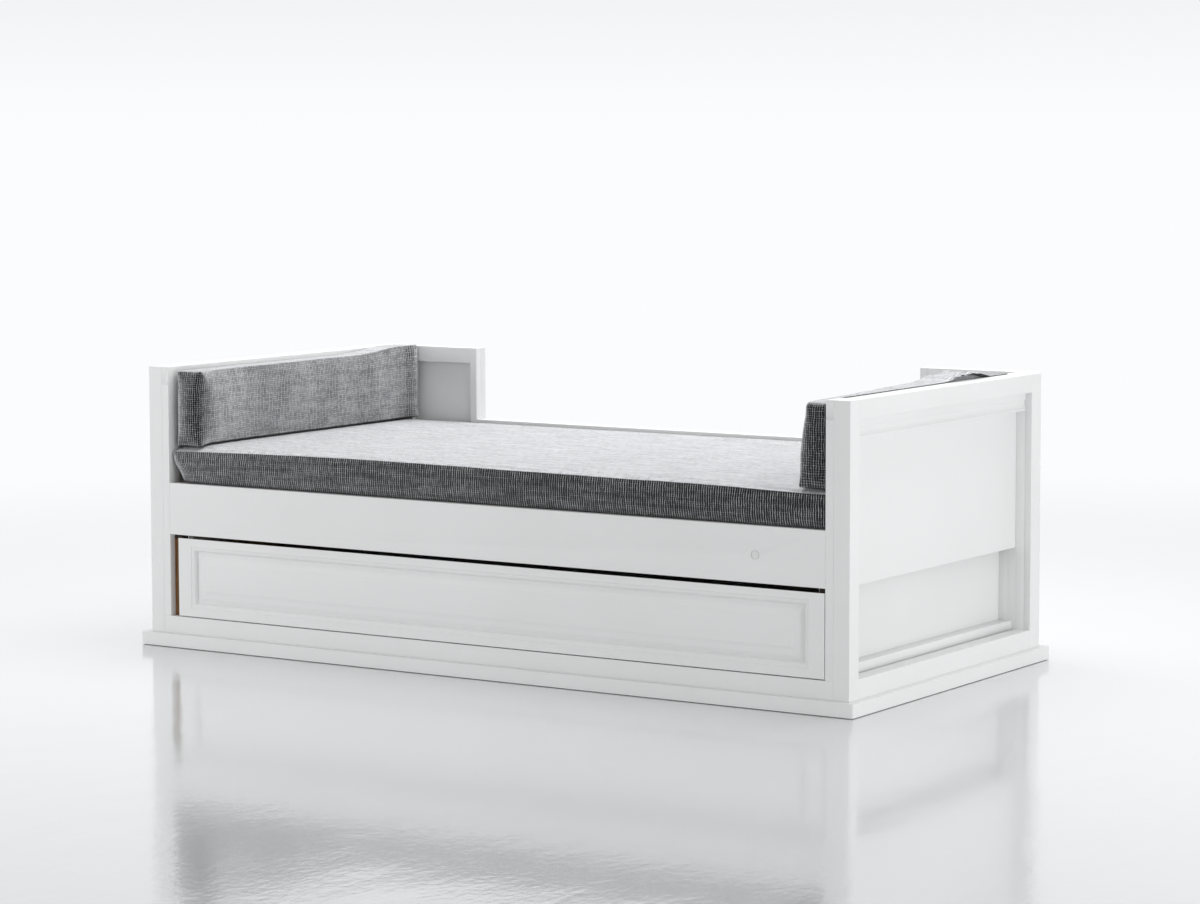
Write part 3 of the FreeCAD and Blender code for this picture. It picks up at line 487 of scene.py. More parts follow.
@dataclass(frozen=True)
class PlatedSteel(Finish):
    """Zinc-plated pressed steel: brushed a little, with faint cloudy patches."""

    tone: Colour = (0.52, 0.53, 0.55, 1.0)
    patch: Colour = (0.38, 0.39, 0.42, 1.0)
    gloss: float = 0.32
    stroke: Point = (1.0, 0.03, 1.0)
    brush_scale: float = 800.0
    patch_scale: float = 30.0

    def paint(self, tree: Tree) -> None:
        """Lay the plating."""
        place = tree.place()
        brushed = tree.cloud(tree.stretch(place, self.stroke), self.brush_scale, 2.0)
        patch = tree.cloud(place, self.patch_scale, 4.0).ramp(0.35, 0.7)
        colour = tree.mix(patch, self.tone, self.patch)
        roughness = patch * 0.14 + brushed * 0.12 + (self.gloss - 0.1)
        self.surface(tree, colour, roughness, tree.bump(brushed, 0.00002), Metallic=1.0)


@dataclass(frozen=True)
class MouldedPlastic(Finish):
    """Moulded plastic with a fine spark-eroded texture."""

    tone: Colour = (0.62, 0.62, 0.61, 1.0)
    gloss: float = 0.38
    grit_scale: float = 1400.0
    drift_scale: float = 60.0

    def paint(self, tree: Tree) -> None:
        """Lay the plastic."""
        place = tree.place()
        grit = tree.cloud(place, self.grit_scale, 2.0)
        drift = tree.cloud(place, self.drift_scale, 2.0)
        colour = tree.mix(drift * 0.2, self.tone, grey(0.5))
        self.surface(tree, colour, grit * 0.15 + (self.gloss - 0.07), tree.bump(grit, 0.00003))


@dataclass(frozen=True)
class PolishedFloor(Finish):
    """A pale, glossy studio floor that fades into the backdrop far from the bed.

    The backdrop colour shows only to the camera and in gloss, so it puts no light on the bed.
    """

    tone: Colour = (0.67, 0.675, 0.68, 1.0)
    mirror: Colour = (0.97, 0.975, 0.98, 1.0)
    backdrop: Colour = (0.965, 0.968, 0.978, 1.0)
    mirror_share: float = 0.54
    middle: tuple[float, float] = (1.2, -1.6)
    fade_from: float = 2.7
    fade_to: float = 7.0
    gloss: float = 0.105
    ripple_depth: float = 0.0007

    def paint(self, tree: Tree) -> None:
        """Lay the floor."""
        place = tree.place()
        x, y, _ = tree.axes(place)
        away = ((x - self.middle[0]).power(2.0) + (y - self.middle[1]).power(2.0)).power(0.5)
        ripple = tree.cloud(tree.stretch(place, (1.0, 0.45, 1.0)), 9.0, 2.0)
        fine = tree.cloud(tree.stretch(place, (1.0, 0.6, 1.0)), 60.0, 2.0)
        relief = tree.bump(ripple + fine * 0.45, self.ripple_depth)
        matt = tree.read("ShaderNodeBsdfDiffuse", None, {"Color": self.tone})
        polish = tree.read("ShaderNodeBsdfGlossy", None, {"Color": self.mirror, "Roughness": self.gloss,
                                                          "Normal": relief})
        shader = tree.read("ShaderNodeMixShader", None, {0: self.mirror_share, 1: matt, 2: polish})
        path = tree.node("ShaderNodeLightPath")
        seen = Value(tree, path.outputs["Is Camera Ray"]).math(
            "MAXIMUM", Value(tree, path.outputs["Is Glossy Ray"])
        )
        wall = tree.read("ShaderNodeEmission", None, {"Color": self.backdrop, "Strength": 1.0})
        share = away.ramp(self.fade_from, self.fade_to) * seen
        tree.show(tree.read("ShaderNodeMixShader", None, {0: share, 1: shader, 2: wall}))


PAINT = {grain: SatinPaint(f"satin_paint_{grain.name.lower()}", grain) for grain in Grain}
PINE = {grain: RawPine(f"raw_pine_{grain.name.lower()}", grain) for grain in Grain}
# Pine for the drawer stops: its darker tones are partly the pine and partly painted shade for the narrow gaps it is
# seen through, and above 0.286 m it is painted near black as the shadow in the slot over the drawer front.
SHADED_PINE = RawPine("shaded_pine", Grain.Z, pale=(0.22, 0.105, 0.034, 1.0), late=(0.10, 0.040, 0.012, 1.0),
                    shadow_from_height=0.286)
PLY = {grain: DrawerPly(f"drawer_ply_{grain.name.lower()}", grain) for grain in Grain}
CLOTH = WovenCloth("woven_cloth")
MATTRESS_CLOTH = WovenCloth("woven_mattress_cloth", warp_share=0.47, weft_share=0.13, weft_dash=0.05, mottle=0.17)
TICKING = Ticking("striped_ticking")
RUNNER_STEEL = PlatedSteel("plated_runner_steel")
BRACKET_ZINC = PlatedSteel("dull_bracket_zinc", grey(0.60), (0.46, 0.46, 0.47, 1.0), 0.4, (1.0, 1.0, 1.0))
BALL_STEEL = PlatedSteel("ball_steel", (0.66, 0.66, 0.68, 1.0), (0.6, 0.6, 0.62, 1.0), 0.16)
PLUG_PLASTIC = MouldedPlastic("moulded_plug_plastic", (0.83, 0.835, 0.83, 1.0), 0.36)
GLIDE_PLASTIC = MouldedPlastic("moulded_glide_plastic", grey(0.20), 0.5)


def new_piece(name: str, points: Sequence[Point], faces: Sequence[Sequence[int]]) -> bpy.types.Object:
    """Make a mesh object at the origin, with its place in its points."""
    mesh = bpy.data.meshes.new(name)
    mesh.from_pydata([tuple(point) for point in points], [], faces)
    mesh.update()
    piece = bpy.data.objects.new(name, mesh)
    bpy.context.scene.collection.objects.link(piece)
    return piece


def soften(piece: bpy.types.Object, angle: float = 34.0) -> None:
    """Shade a piece smooth, but for its edges sharper than an angle in degrees."""
    piece.data.shade_smooth()
    piece.data.set_sharp_from_angle(angle=math.radians(angle))


def settle(piece: bpy.types.Object, finish: Finish | None, body: str,
           replaces: Iterable[str] = ()) -> bpy.types.Object:
    """Give a finished piece its finish and body, and say what it stands for.

    Args:
        piece: the finished object.
        finish: its finish, or None where its mesh already has one.
        body: the body that it moves with.
        replaces: the nodes that it stands for.

    Returns:
        The same object.
    """
    if finish is not None:
        piece.data.materials.clear()
        piece.data.materials.append(finish.material())
    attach(piece, body)
    if replaces:
        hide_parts(*replaces)
    log.info("%s: %d faces, on %s", piece.name, len(piece.data.polygons), body)
    return piece


def bake_modifiers(piece: bpy.types.Object) -> None:
    """Turn a piece and its modifiers into one plain mesh."""
    bpy.context.view_layer.update()
    graph = bpy.context.evaluated_depsgraph_get()
    mesh = bpy.data.meshes.new_from_object(piece.evaluated_get(graph), preserve_all_data_layers=True,
                                           depsgraph=graph)
    piece.modifiers.clear()
    piece.data = mesh


class GrowthTree(Tree):
    """A geometry tree that sets one pattern piece at every point of a mesh, turned to face its own way."""

    inputs = {"Geometry": "NodeSocketGeometry", "Pattern": "NodeSocketObject", "Finish": "NodeSocketMaterial",
              "Size": "NodeSocketFloat", "Spin": "NodeSocketFloat", "Seed": "NodeSocketInt"}

    def __init__(self, name: str) -> None:
        """Make the tree with its named inputs, and keep their identifiers."""
        self.group = bpy.data.node_groups.new(name, "GeometryNodeTree")
        self.nodes, self.links = self.group.nodes, self.group.links
        face = self.group.interface
        self.sockets = {label: face.new_socket(label, in_out="INPUT", socket_type=kind).identifier
                        for label, kind in self.inputs.items()}
        face.new_socket("Geometry", in_out="OUTPUT", socket_type="NodeSocketGeometry")
        self.build()

    def build(self) -> None:
        """Join the nodes: points, their facing, the pattern piece, and the finish."""
        entry = self.nodes.new("NodeGroupInput").outputs
        facing, across = (self.read("GeometryNodeInputNamedAttribute", {"data_type": "FLOAT_VECTOR"},
                                    {"Name": name}, "Attribute") for name in ("facing", "across"))
        chance = self.read("FunctionNodeRandomValue", {"data_type": "FLOAT"},
                           {"Seed": entry["Seed"], 3: entry["Spin"]}, 1)
        turned = self.read("FunctionNodeAxesToRotation", {"primary_axis": "Z", "secondary_axis": "X"},
                           {"Primary Axis": facing, "Secondary Axis": across})
        spun = self.read("FunctionNodeRotateRotation", {"rotation_space": "LOCAL"},
                         {0: turned, 1: self.join(0.0, 0.0, chance)})
        pattern = self.read("GeometryNodeObjectInfo", None, {"Object": entry["Pattern"]}, "Geometry")
        grown = self.read("GeometryNodeInstanceOnPoints", None,
                          {"Points": entry["Geometry"], "Instance": pattern, "Rotation": spun,
                           "Scale": entry["Size"]}, "Instances")
        whole = self.read("GeometryNodeRealizeInstances", None, {"Geometry": grown})
        dressed = self.read("GeometryNodeSetMaterial", None, {"Geometry": whole, "Material": entry["Finish"]})
        self.node("NodeGroupOutput", None, {0: dressed})


@cache
def growth_tree() -> GrowthTree:
    """The one tree that repeats pattern pieces."""
    return GrowthTree("grow_pattern")


@dataclass
class Repeat:
    """One pattern piece repeated at many places, each with its own facing."""

    name: str
    pattern: bpy.types.Object
    finish: Finish
    size: float = 1.0
    spin: float = 0.0
    seed: int = 5

    def grow(self, places: Sequence[tuple[Point, Point, Point]]) -> bpy.types.Object:
        """Set the pattern at each place and make one plain mesh of it all.

        Args:
            places: for each copy, its point, the way its own +Z faces and the way its own +X faces.

        Returns:
            The finished object, with the finish on it.
        """
        piece = new_piece(self.name, [place for place, _, _ in places], [])
        for name, column in (("facing", 1), ("across", 2)):
            attribute = piece.data.attributes.new(name, "FLOAT_VECTOR", "POINT")
            attribute.data.foreach_set("vector", [part for row in places for part in row[column]])
        tree = growth_tree()
        modifier = piece.modifiers.new("grow", "NODES")
        modifier.node_group = tree.group
        held = {"Pattern": self.pattern, "Finish": self.finish.material(), "Size": self.size,
                "Spin": self.spin, "Seed": self.seed}
        for label, setting in held.items():
            modifier[tree.sockets[label]] = setting
        bake_modifiers(piece)
        bpy.data.objects.remove(self.pattern)
        return piece


def eased_block(name: str, low: Point, high: Point, ease: float, steps: int = 2) -> bpy.types.Object:
    """A square piece with rounded edges."""
    corners = [(x, y, z) for x in (low[0], high[0]) for y in (low[1], high[1]) for z in (low[2], high[2])]
    faces = [(0, 1, 3, 2), (4, 6, 7, 5), (0, 4, 5, 1), (2, 3, 7, 6), (0, 2, 6, 4), (1, 5, 7, 3)]
    piece = new_piece(name, corners, faces)
    bevel = piece.modifiers.new("ease", "BEVEL")
    bevel.width = ease
    bevel.segments = steps
    bevel.limit_method = "NONE"
    bake_modifiers(piece)
    soften(piece)
    return piece


def turned_piece(name: str, profile: Sequence[tuple[float, float]], sides: int) -> bpy.types.Object:
    """A round piece about its own Z, from a profile of radius and height that starts and ends on the axis."""
    rings = [(radius, height) for radius, height in profile[1:-1]]
    points: list[Point] = [(0.0, 0.0, profile[0][1])]
    for radius, height in rings:
        for side in range(sides):
            angle = 2 * math.pi * side / sides
            points.append((radius * math.cos(angle), radius * math.sin(angle), height))
    points.append((0.0, 0.0, profile[-1][1]))
    faces = []
    last = len(points) - 1
    for side in range(sides):
        after = (side + 1) % sides
        faces.append((0, 1 + after, 1 + side))
        for ring in range(len(rings) - 1):
            near, far = 1 + ring * sides, 1 + (ring + 1) * sides
            faces.append((near + side, near + after, far + after, far + side))
        top = 1 + (len(rings) - 1) * sides
        faces.append((top + side, top + after, last))
    piece = new_piece(name, points, faces)
    soften(piece)
    return piece


def quarter(centre: tuple[float, float], radius: float, start: float, end: float,
            steps: int) -> list[tuple[float, float]]:
    """Points on an arc, from one angle in degrees to another."""
    angles = [math.radians(start + (end - start) * step / steps) for step in range(steps + 1)]
    return [(centre[0] + radius * math.cos(angle), centre[1] + radius * math.sin(angle)) for angle in angles]


@dataclass(frozen=True)
class Lamp:
    """One soft square lamp: where it hangs, the point that it faces, its width and height, and its watts."""

    name: str
    place: Point
    aim: Point
    size: tuple[float, float]
    power: float

    def hang(self) -> None:
        """Hang the lamp, out of the camera's sight and out of every gloss."""
        data = bpy.data.lights.new(self.name, "AREA")
        data.shape = "RECTANGLE"
        data.size, data.size_y = self.size
        data.energy = self.power
        lamp = bpy.data.objects.new(self.name, data)
        lamp.location = self.place
        lamp.rotation_euler = (Vector(self.aim) - Vector(self.place)).to_track_quat("-Z", "Y").to_euler()
        lamp.visible_camera = False
        lamp.visible_glossy = False
        bpy.context.scene.collection.objects.link(lamp)


@dataclass
class Studio:
    """The pale studio: a glossy floor, a white backdrop, soft lamps and the camera."""

    floor_radius: float = 90.0
    floor_sides: int = 96
    camera_place: Point = (4.9766, -7.6336, 1.4317)
    camera_turn: float = 0.575
    camera_tilt: float = 0.0895
    camera_roll: float = -0.0021
    lens: float = 104.08
    sensor: float = 36.0
    shift_up: float = -0.0262
    far_clip: float = 400.0
    ambient: float = 0.56
    backdrop: Colour = (0.968, 0.974, 0.985, 1.0)
    backdrop_top: Colour = (0.87, 0.878, 0.893, 1.0)
    mirrored_wall: Colour = (1.11, 1.115, 1.125, 1.0)
    mirrored_roof: Colour = (0.93, 0.935, 0.945, 1.0)
    drop_heights: tuple[float, float] = (-0.01, 0.05)
    wall_heights: tuple[float, float] = (0.05, 0.11)
    roof_heights: tuple[float, float] = (0.15, 0.24)
    lamps: tuple[Lamp, ...] = (
        Lamp("overhead_lamp", (0.0, 0.8, 3.0), (0.0, 0.1, 0.3), (3.6, 2.6), 94.0),
        Lamp("right_lamp", (4.4, -0.75, 0.7), (0.9, 0.0, 0.35), (2.8, 1.3), 51.0),
        Lamp("left_front_lamp", (-2.7, -3.3, 0.95), (-0.5, -0.5, 0.3), (2.4, 1.4), 34.0),
    )

    def build(self) -> None:
        """Make everything that isn't the bed."""
        self.make_camera()
        self.make_floor()
        self.light_world()
        for lamp in self.lamps:
            lamp.hang()
        bpy.context.scene.view_settings.view_transform = "Standard"

    def make_camera(self) -> None:
        """Set the camera up at the photograph's place."""
        data = bpy.data.cameras.new("studio_camera")
        data.lens = self.lens
        data.sensor_width = self.sensor
        data.shift_y = self.shift_up
        data.clip_end = self.far_clip
        camera = bpy.data.objects.new("studio_camera", data)
        turn = Matrix.Rotation(self.camera_turn, 4, "Z")
        tilt = Matrix.Rotation(math.pi / 2 - self.camera_tilt, 4, "X")
        roll = Matrix.Rotation(self.camera_roll, 4, "Z")
        camera.matrix_world = Matrix.Translation(self.camera_place) @ turn @ tilt @ roll
        bpy.context.scene.collection.objects.link(camera)
        bpy.context.scene.camera = camera

    def make_floor(self) -> None:
        """Lay the floor as one wide round sheet."""
        sides = self.floor_sides
        rim = [(self.floor_radius * math.cos(2 * math.pi * side / sides),
                self.floor_radius * math.sin(2 * math.pi * side / sides), 0.0) for side in range(sides)]
        floor = new_piece("studio_floor", rim, [tuple(range(sides))])
        floor.data.materials.append(PolishedFloor("polished_floor", backdrop=self.backdrop).material())

    def light_world(self) -> None:
        """Light all round at a plain level, and show a pale backdrop to the camera and in gloss."""
        world = bpy.data.worlds.new("studio_world")
        tree = Tree(world)
        height = tree.axes(tree.read("ShaderNodeTexCoord", output="Generated"))[2]
        drop: Value | Colour = self.backdrop
        for heights, tone in ((self.drop_heights, self.backdrop_top), (self.wall_heights, self.mirrored_wall),
                              (self.roof_heights, self.mirrored_roof)):
            drop = tree.mix(height.ramp(*heights), drop, tone)
        path = tree.node("ShaderNodeLightPath")
        seen = Value(tree, path.outputs["Is Camera Ray"])
        for ray in ("Is Glossy Ray", "Is Transmission Ray"):
            seen = seen.math("MAXIMUM", Value(tree, path.outputs[ray]))
        soft = tree.read("ShaderNodeBackground", None, {"Color": grey(1.0), "Strength": self.ambient})
        wall = tree.read("ShaderNodeBackground", None, {"Color": drop, "Strength": 1.0})
        both = tree.read("ShaderNodeMixShader", None, {0: seen, 1: soft, 2: wall})
        tree.show(both, "ShaderNodeOutputWorld")
        bpy.context.scene.world = world


@dataclass
class PaintedFrame:
    """The boards: each white one gets its sharp edges eased and its paint, and the rest keep their solids."""

    ease: float = 0.0007
    sharp: float = 30.0
    flat_within: float = 1.0
    weld: float = 1e-6
    sides: tuple[str, str] = ("left", "right")
    upright: tuple[str, ...] = ("front_post", "back_post", "lining_front_stile", "lining_back_stile", "end_panel",
                                "wing_outer_stile", "wing_free_stile", "wing_panel")
    deep: tuple[str, ...] = ("top_rail", "bottom_rail", "lining_top_rail", "lining_bed_rail", "cheek")
    long: tuple[str, ...] = ("plinth_front", "plinth_back", "front_bottom_rail", "front_bed_rail",
                             "back_bottom_rail", "back_rail", "back_panel")

    def dress(self) -> None:
        """Put each node's finish on it."""
        for side in self.sides:
            for piece in self.upright:
                self.ease_board(f"{side}_{piece}", PAINT[Grain.Z])
            for piece in self.deep:
                self.ease_board(f"{side}_{piece}", PAINT[Grain.Y])
            self.ease_board(f"{side}_wing_top_rail", PAINT[Grain.X])
            self.ease_board(f"plinth_{side}", PAINT[Grain.Y])
            self.cover(f"drawer_{side}_side", PLY[Grain.Y])
            self.cover(f"{side}_runner_middle", RUNNER_STEEL)
        for piece in self.long:
            self.ease_board(piece, PAINT[Grain.X])
        self.ease_board("sill_battens", PAINT[Grain.Y])
        for node, finish in (("pine_battens", SHADED_PINE), ("slat_ledgers", PINE[Grain.X]),
                             ("drawer_back", PLY[Grain.X]), ("drawer_bottom", PLY[Grain.X]),
                             ("runner_outers", RUNNER_STEEL), ("runner_inners", RUNNER_STEEL),
                             ("corner_brackets", BRACKET_ZINC), ("floor_glides", GLIDE_PLASTIC)):
            self.cover(node, finish)

    def cover(self, node: str, finish: Finish) -> None:
        """Put one finish on one node."""
        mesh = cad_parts[node].data
        mesh.materials.clear()
        mesh.materials.append(finish.material())
        log.info("%s: %s", node, finish.name)

    def ease_board(self, node: str, finish: Finish) -> bpy.types.Object:
        """Take a copy of a board, round its sharp edges a little and paint it.

        Args:
            node: the board.
            finish: its paint.

        Returns:
            The finished board.
        """
        form = bmesh.new()
        form.from_mesh(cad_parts[node].data)
        bmesh.ops.remove_doubles(form, verts=form.verts, dist=self.weld)
        bmesh.ops.dissolve_limit(form, angle_limit=math.radians(self.flat_within), verts=form.verts, edges=form.edges)
        corners = [edge for edge in form.edges
                   if edge.is_manifold and edge.calc_face_angle() > math.radians(self.sharp)]
        bmesh.ops.bevel(form, geom=corners, offset=self.ease, segments=2, profile=0.5, affect="EDGES",
                        clamp_overlap=True)
        piece = new_piece(f"{node}_board", [], [])
        form.to_mesh(piece.data)
        form.free()
        soften(piece)
        return settle(piece, finish, "bed_frame", [node])


@dataclass
class FriezeMoulding:
    """The moulded rail behind each end's top rail: a flat, a small step, a shallow cove and a lip."""

    side: str
    flat: float = 0.067
    step: float = 0.003
    cove: float = 0.019
    slope: float = 0.004
    lip: float = 0.004
    edge: float = 0.0006
    bow: float = 0.0022
    rise_share: float = 0.2
    nick: float = 0.0008
    cove_steps: int = 8
    sharp: float = 25.0

    def profile(self) -> list[tuple[float, float]]:
        """The section as depth from the face and drop from the top, ending at the lip's foot."""
        edge = self.edge
        outline = [(0.0, 0.0), (0.0, self.flat - edge), (edge, self.flat), (self.step, self.flat)]
        for index in range(1, self.cove_steps + 1):
            share = index / self.cove_steps
            bow = math.sin(share * math.pi) * self.bow
            outline.append((self.step - share * self.step * self.rise_share + bow, self.flat + self.cove * share))
        drop = self.flat + self.cove + self.slope
        outline += [(self.nick, drop - self.nick * 1.5), (0.0, drop - self.nick * 0.5),
                    (0.0, drop + self.lip - edge), (edge, drop + self.lip)]
        return outline

    def build(self) -> bpy.types.Object:
        """Run the section along the rail and close its ends."""
        node = f"{self.side}_frieze_rail"
        low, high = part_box(node)
        face, inward = (high.x, -1.0) if self.side == "right" else (low.x, 1.0)
        thickness = high.x - low.x
        outline = self.profile() + [(thickness, high.z - low.z), (thickness, 0.0)]
        points = [(face + inward * depth, y, high.z - drop) for y in (low.y, high.y) for depth, drop in outline]
        count = len(outline)
        faces = [(i, (i + 1) % count, count + (i + 1) % count, count + i) for i in range(count)]
        faces += [tuple(range(count)), tuple(range(2 * count - 1, count - 1, -1))]
        if self.side == "left":
            faces = [tuple(reversed(corners)) for corners in faces]
        piece = new_piece(f"{self.side}_frieze_moulding", points, faces)
        soften(piece, self.sharp)
        return settle(piece, PAINT[Grain.Y], "bed_frame", [node])


@dataclass
class DrawerFront:
    """The drawer front: border, quirk, ovolo, soft bevel and a raised field, with mitred mouldings."""

    border_side: float = 0.046
    border_edge: float = 0.026
    quirk: float = 0.0022
    ovolo_width: float = 0.014
    ovolo_depth: float = 0.0125
    bevel_width: float = 0.033
    bevel_rise: float = 0.0112
    arris: float = 0.0012
    left_lift: float = -0.0012
    right_drop: float = 0.0042
    back_bevel: float = 0.0032
    arris_share: float = 0.3
    top_share: float = 0.5
    quirk_shares: tuple[tuple[float, float], ...] = ((-1.6, 0.0), (-0.9, 0.9), (-0.2, 1.0))
    ovolo_share: float = 0.95
    ovolo_shift: float = 0.0004
    hollow: float = 0.0032
    hollow_end: float = 0.0010
    bevel_steps: int = 8
    bevel_wave: float = 0.05
    bevel_fall: float = 0.10
    field_edge: float = 0.0012
    field_rise: float = 0.0002
    sharp: float = 22.0

    def section(self) -> list[tuple[float, float]]:
        """The moulding as inset from the border's inner edge and depth behind the face."""
        nook = self.quirk
        outline = [(nook * inset, nook * depth) for inset, depth in self.quirk_shares]
        for inset, height in quarter((0.0, self.ovolo_depth), self.ovolo_depth - nook, 90.0, 8.0, 6):
            outline.append((inset * self.ovolo_share + self.ovolo_shift, self.ovolo_depth * 2 - height))
        outline.append((self.ovolo_width - self.hollow, self.ovolo_depth))
        outline.append((self.ovolo_width - self.hollow_end, self.ovolo_depth + self.ovolo_shift))
        for index in range(self.bevel_steps + 1):
            share = index / self.bevel_steps
            slope = share + math.sin(share * math.pi * 2) * self.bevel_wave - share * share * self.bevel_fall
            outline.append((self.ovolo_width + self.bevel_width * share,
                            self.ovolo_depth - self.bevel_rise * slope / (1.0 - self.bevel_fall)))
        edge, depth = outline[-1]
        outline.append((edge + self.field_edge, depth - self.field_rise))
        return outline

    def build(self) -> bpy.types.Object:
        """Lay mitred rings from the back, round the outer edge, over the moulding to the field."""
        low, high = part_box("drawer_front")
        middle = self.arris * self.arris_share
        rings = [(0.0, 0.0, high.y, self.arris), (0.0, 0.0, high.y - self.arris, 0.0),
                 (0.0, 0.0, low.y + self.arris, 0.0), (0.0, 0.0, low.y + middle, middle),
                 (0.0, 0.0, low.y, self.arris)]
        for inset, depth in self.section():
            rings.append((self.border_side, self.border_edge, low.y + depth, inset))
        points, faces = [], []
        for side, edge, y, inset in rings:
            x0, x1 = low.x + side + inset, high.x - side - inset
            z0, z1 = low.z + edge + inset, high.z - edge - inset
            points += [(x0, y, z0), (x1, y, z0), (x1, y, z1), (x0, y, z1)]
        for ring in range(len(rings) - 1):
            near, far = ring * 4, ring * 4 + 4
            faces += [(near + k, near + (k + 1) % 4, far + (k + 1) % 4, far + k) for k in range(4)]
        faces += [(3, 2, 1, 0), tuple(len(points) - 4 + k for k in range(4))]
        piece = new_piece("drawer_front_board", points, faces)
        self.fit_top(piece, low, high)
        soften(piece, self.sharp)
        return settle(piece, PAINT[Grain.X], "drawer", ["drawer_front"])

    def fit_top(self, piece: bpy.types.Object, low: Vector, high: Vector) -> None:
        """Hang the top edge a little out of level, and plane it back so that it clears the rail."""
        top = high.z - self.border_edge * self.top_share
        for point in piece.data.vertices:
            if point.co.z > top:
                across = (point.co.x - low.x) / (high.x - low.x)
                back = (point.co.y - low.y) / (high.y - low.y)
                point.co.z += self.left_lift - (self.left_lift + self.right_drop) * across
                point.co.z -= self.back_bevel * max(0.0, back)


@dataclass
class RailPlug:
    """The small round cap in the bed rail, with a shallow dish in its face and a fine groove round it."""

    dish: float = 0.0016
    groove: float = 0.0012
    groove_depth: float = 0.0030
    rounding: float = 0.0008
    land: float = 0.0022
    dish_slope: float = 0.0010
    boss_radius: float = 0.004
    boss_edge: float = 0.0006
    boss_depth_share: float = 0.4
    sides: int = 48

    def build(self) -> bpy.types.Object:
        """Turn the cap and lay it in the rail."""
        low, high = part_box("rail_plug")
        radius, length = (high.x - low.x) / 2, high.y - low.y
        rim = radius - self.groove - self.rounding
        boss = length - self.dish * self.boss_depth_share
        profile = [(0.0, 0.0), (radius, 0.0), (radius, length - self.groove_depth),
                   (radius - self.groove, length - self.groove_depth),
                   (radius - self.groove, length - self.rounding), (rim, length),
                   (rim - self.land, length), (rim - self.land - self.dish_slope, length - self.dish),
                   (self.boss_radius, length - self.dish), (self.boss_radius - self.boss_edge, boss), (0.0, boss)]
        piece = turned_piece("rail_plug_cap", profile, self.sides)
        place = Matrix.Translation(((low.x + high.x) / 2, high.y, (low.z + high.z) / 2))
        piece.data.transform(place @ Matrix.Rotation(math.pi / 2, 4, "X"))
        return settle(piece, PLUG_PLASTIC, "bed_frame", ["rail_plug"])


@dataclass
class BedBase:
    """The slats on their ledgers, and the screws of the corner brackets."""

    slat_count: int = 17
    slat_width: float = 0.070
    slat_thickness: float = 0.018
    slat_ease: float = 0.0025
    bracket_thickness: float = 0.003
    screw_offsets: tuple[float, float] = (0.028, 0.048)
    head_radius: float = 0.004
    head_height: float = 0.0024
    head_shares: tuple[tuple[float, float], ...] = ((1.0, 0.35), (0.93, 0.72), (0.72, 0.94), (0.4, 1.0))
    shank: tuple[tuple[float, float], ...] = ((0.0, -0.0136), (0.0011, -0.0120), (0.0019, -0.0095), (0.0020, 0.0))
    head_sides: int = 20
    recess_reach: float = 0.0021
    recess_half: float = 0.0005
    recess_shares: tuple[float, float] = (0.45, 1.4)
    recess_ease: float = 0.0001

    def build(self) -> None:
        """Lay the slats and drive the screws."""
        self.lay_slats()
        self.drive_screws()

    def lay_slats(self) -> None:
        """Lay the slats side by side at one pitch."""
        low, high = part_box("bed_slats")
        half = self.slat_width / 2
        length = high.y - low.y
        low_corner, high_corner = (-half, 0.0, -self.slat_thickness), (half, length, 0.0)
        pattern = eased_block("slat_pattern", low_corner, high_corner, self.slat_ease)
        pitch = (high.x - low.x - self.slat_width) / (self.slat_count - 1)
        places = [((low.x + half + pitch * index, low.y, high.z), (0.0, 0.0, 1.0), (1.0, 0.0, 0.0))
                  for index in range(self.slat_count)]
        piece = Repeat("sprung_slats", pattern, PINE[Grain.Y]).grow(places)
        settle(piece, None, "bed_frame", ["bed_slats"])

    def drive_screws(self) -> None:
        """Set a pan head with a cross recess on each screw's place."""
        left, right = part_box("left_lining_bed_rail")[1].x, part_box("right_lining_bed_rail")[0].x
        front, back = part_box("front_bed_rail")[1].y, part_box("left_wing_outer_stile")[0].y
        low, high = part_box("corner_brackets")
        z = (low.z + high.z) / 2
        places = []
        for x, inward in ((left, 1.0), (right, -1.0)):
            for y, forward in ((front, 1.0), (back, -1.0)):
                for offset in self.screw_offsets:
                    seat = self.bracket_thickness
                    places.append(((x + inward * offset, y + forward * seat, z), (0.0, forward, 0.0),
                                   (1.0, 0.0, 0.0)))
                    places.append(((x + inward * seat, y + forward * offset, z), (inward, 0.0, 0.0),
                                   (0.0, 1.0, 0.0)))
        pattern = self.screw_pattern()
        piece = Repeat("bracket_screw_heads", pattern, BRACKET_ZINC, spin=math.pi, seed=3).grow(places)
        settle(piece, None, "bed_frame", ["bracket_screws"])

    def screw_pattern(self) -> bpy.types.Object:
        """One screw: shank, pan head and a cross recess cut in the head."""
        radius, height = self.head_radius, self.head_height
        profile = [*self.shank, (radius, 0.0), *((radius * x, height * z) for x, z in self.head_shares),
                   (0.0, height)]
        screw = turned_piece("screw_pattern", profile, self.head_sides)
        foot, top = (height * share for share in self.recess_shares)
        long, wide = self.recess_reach, self.recess_half
        for index, (x, y) in enumerate(((long, wide), (wide, long))):
            tool = eased_block(f"recess_{index}", (-x, -y, foot), (x, y, top), self.recess_ease, 1)
            cut = screw.modifiers.new("recess", "BOOLEAN")
            cut.operation = "DIFFERENCE"
            cut.solver = "EXACT"
            cut.object = tool
            bake_modifiers(screw)
            bpy.data.objects.remove(tool)
        return screw


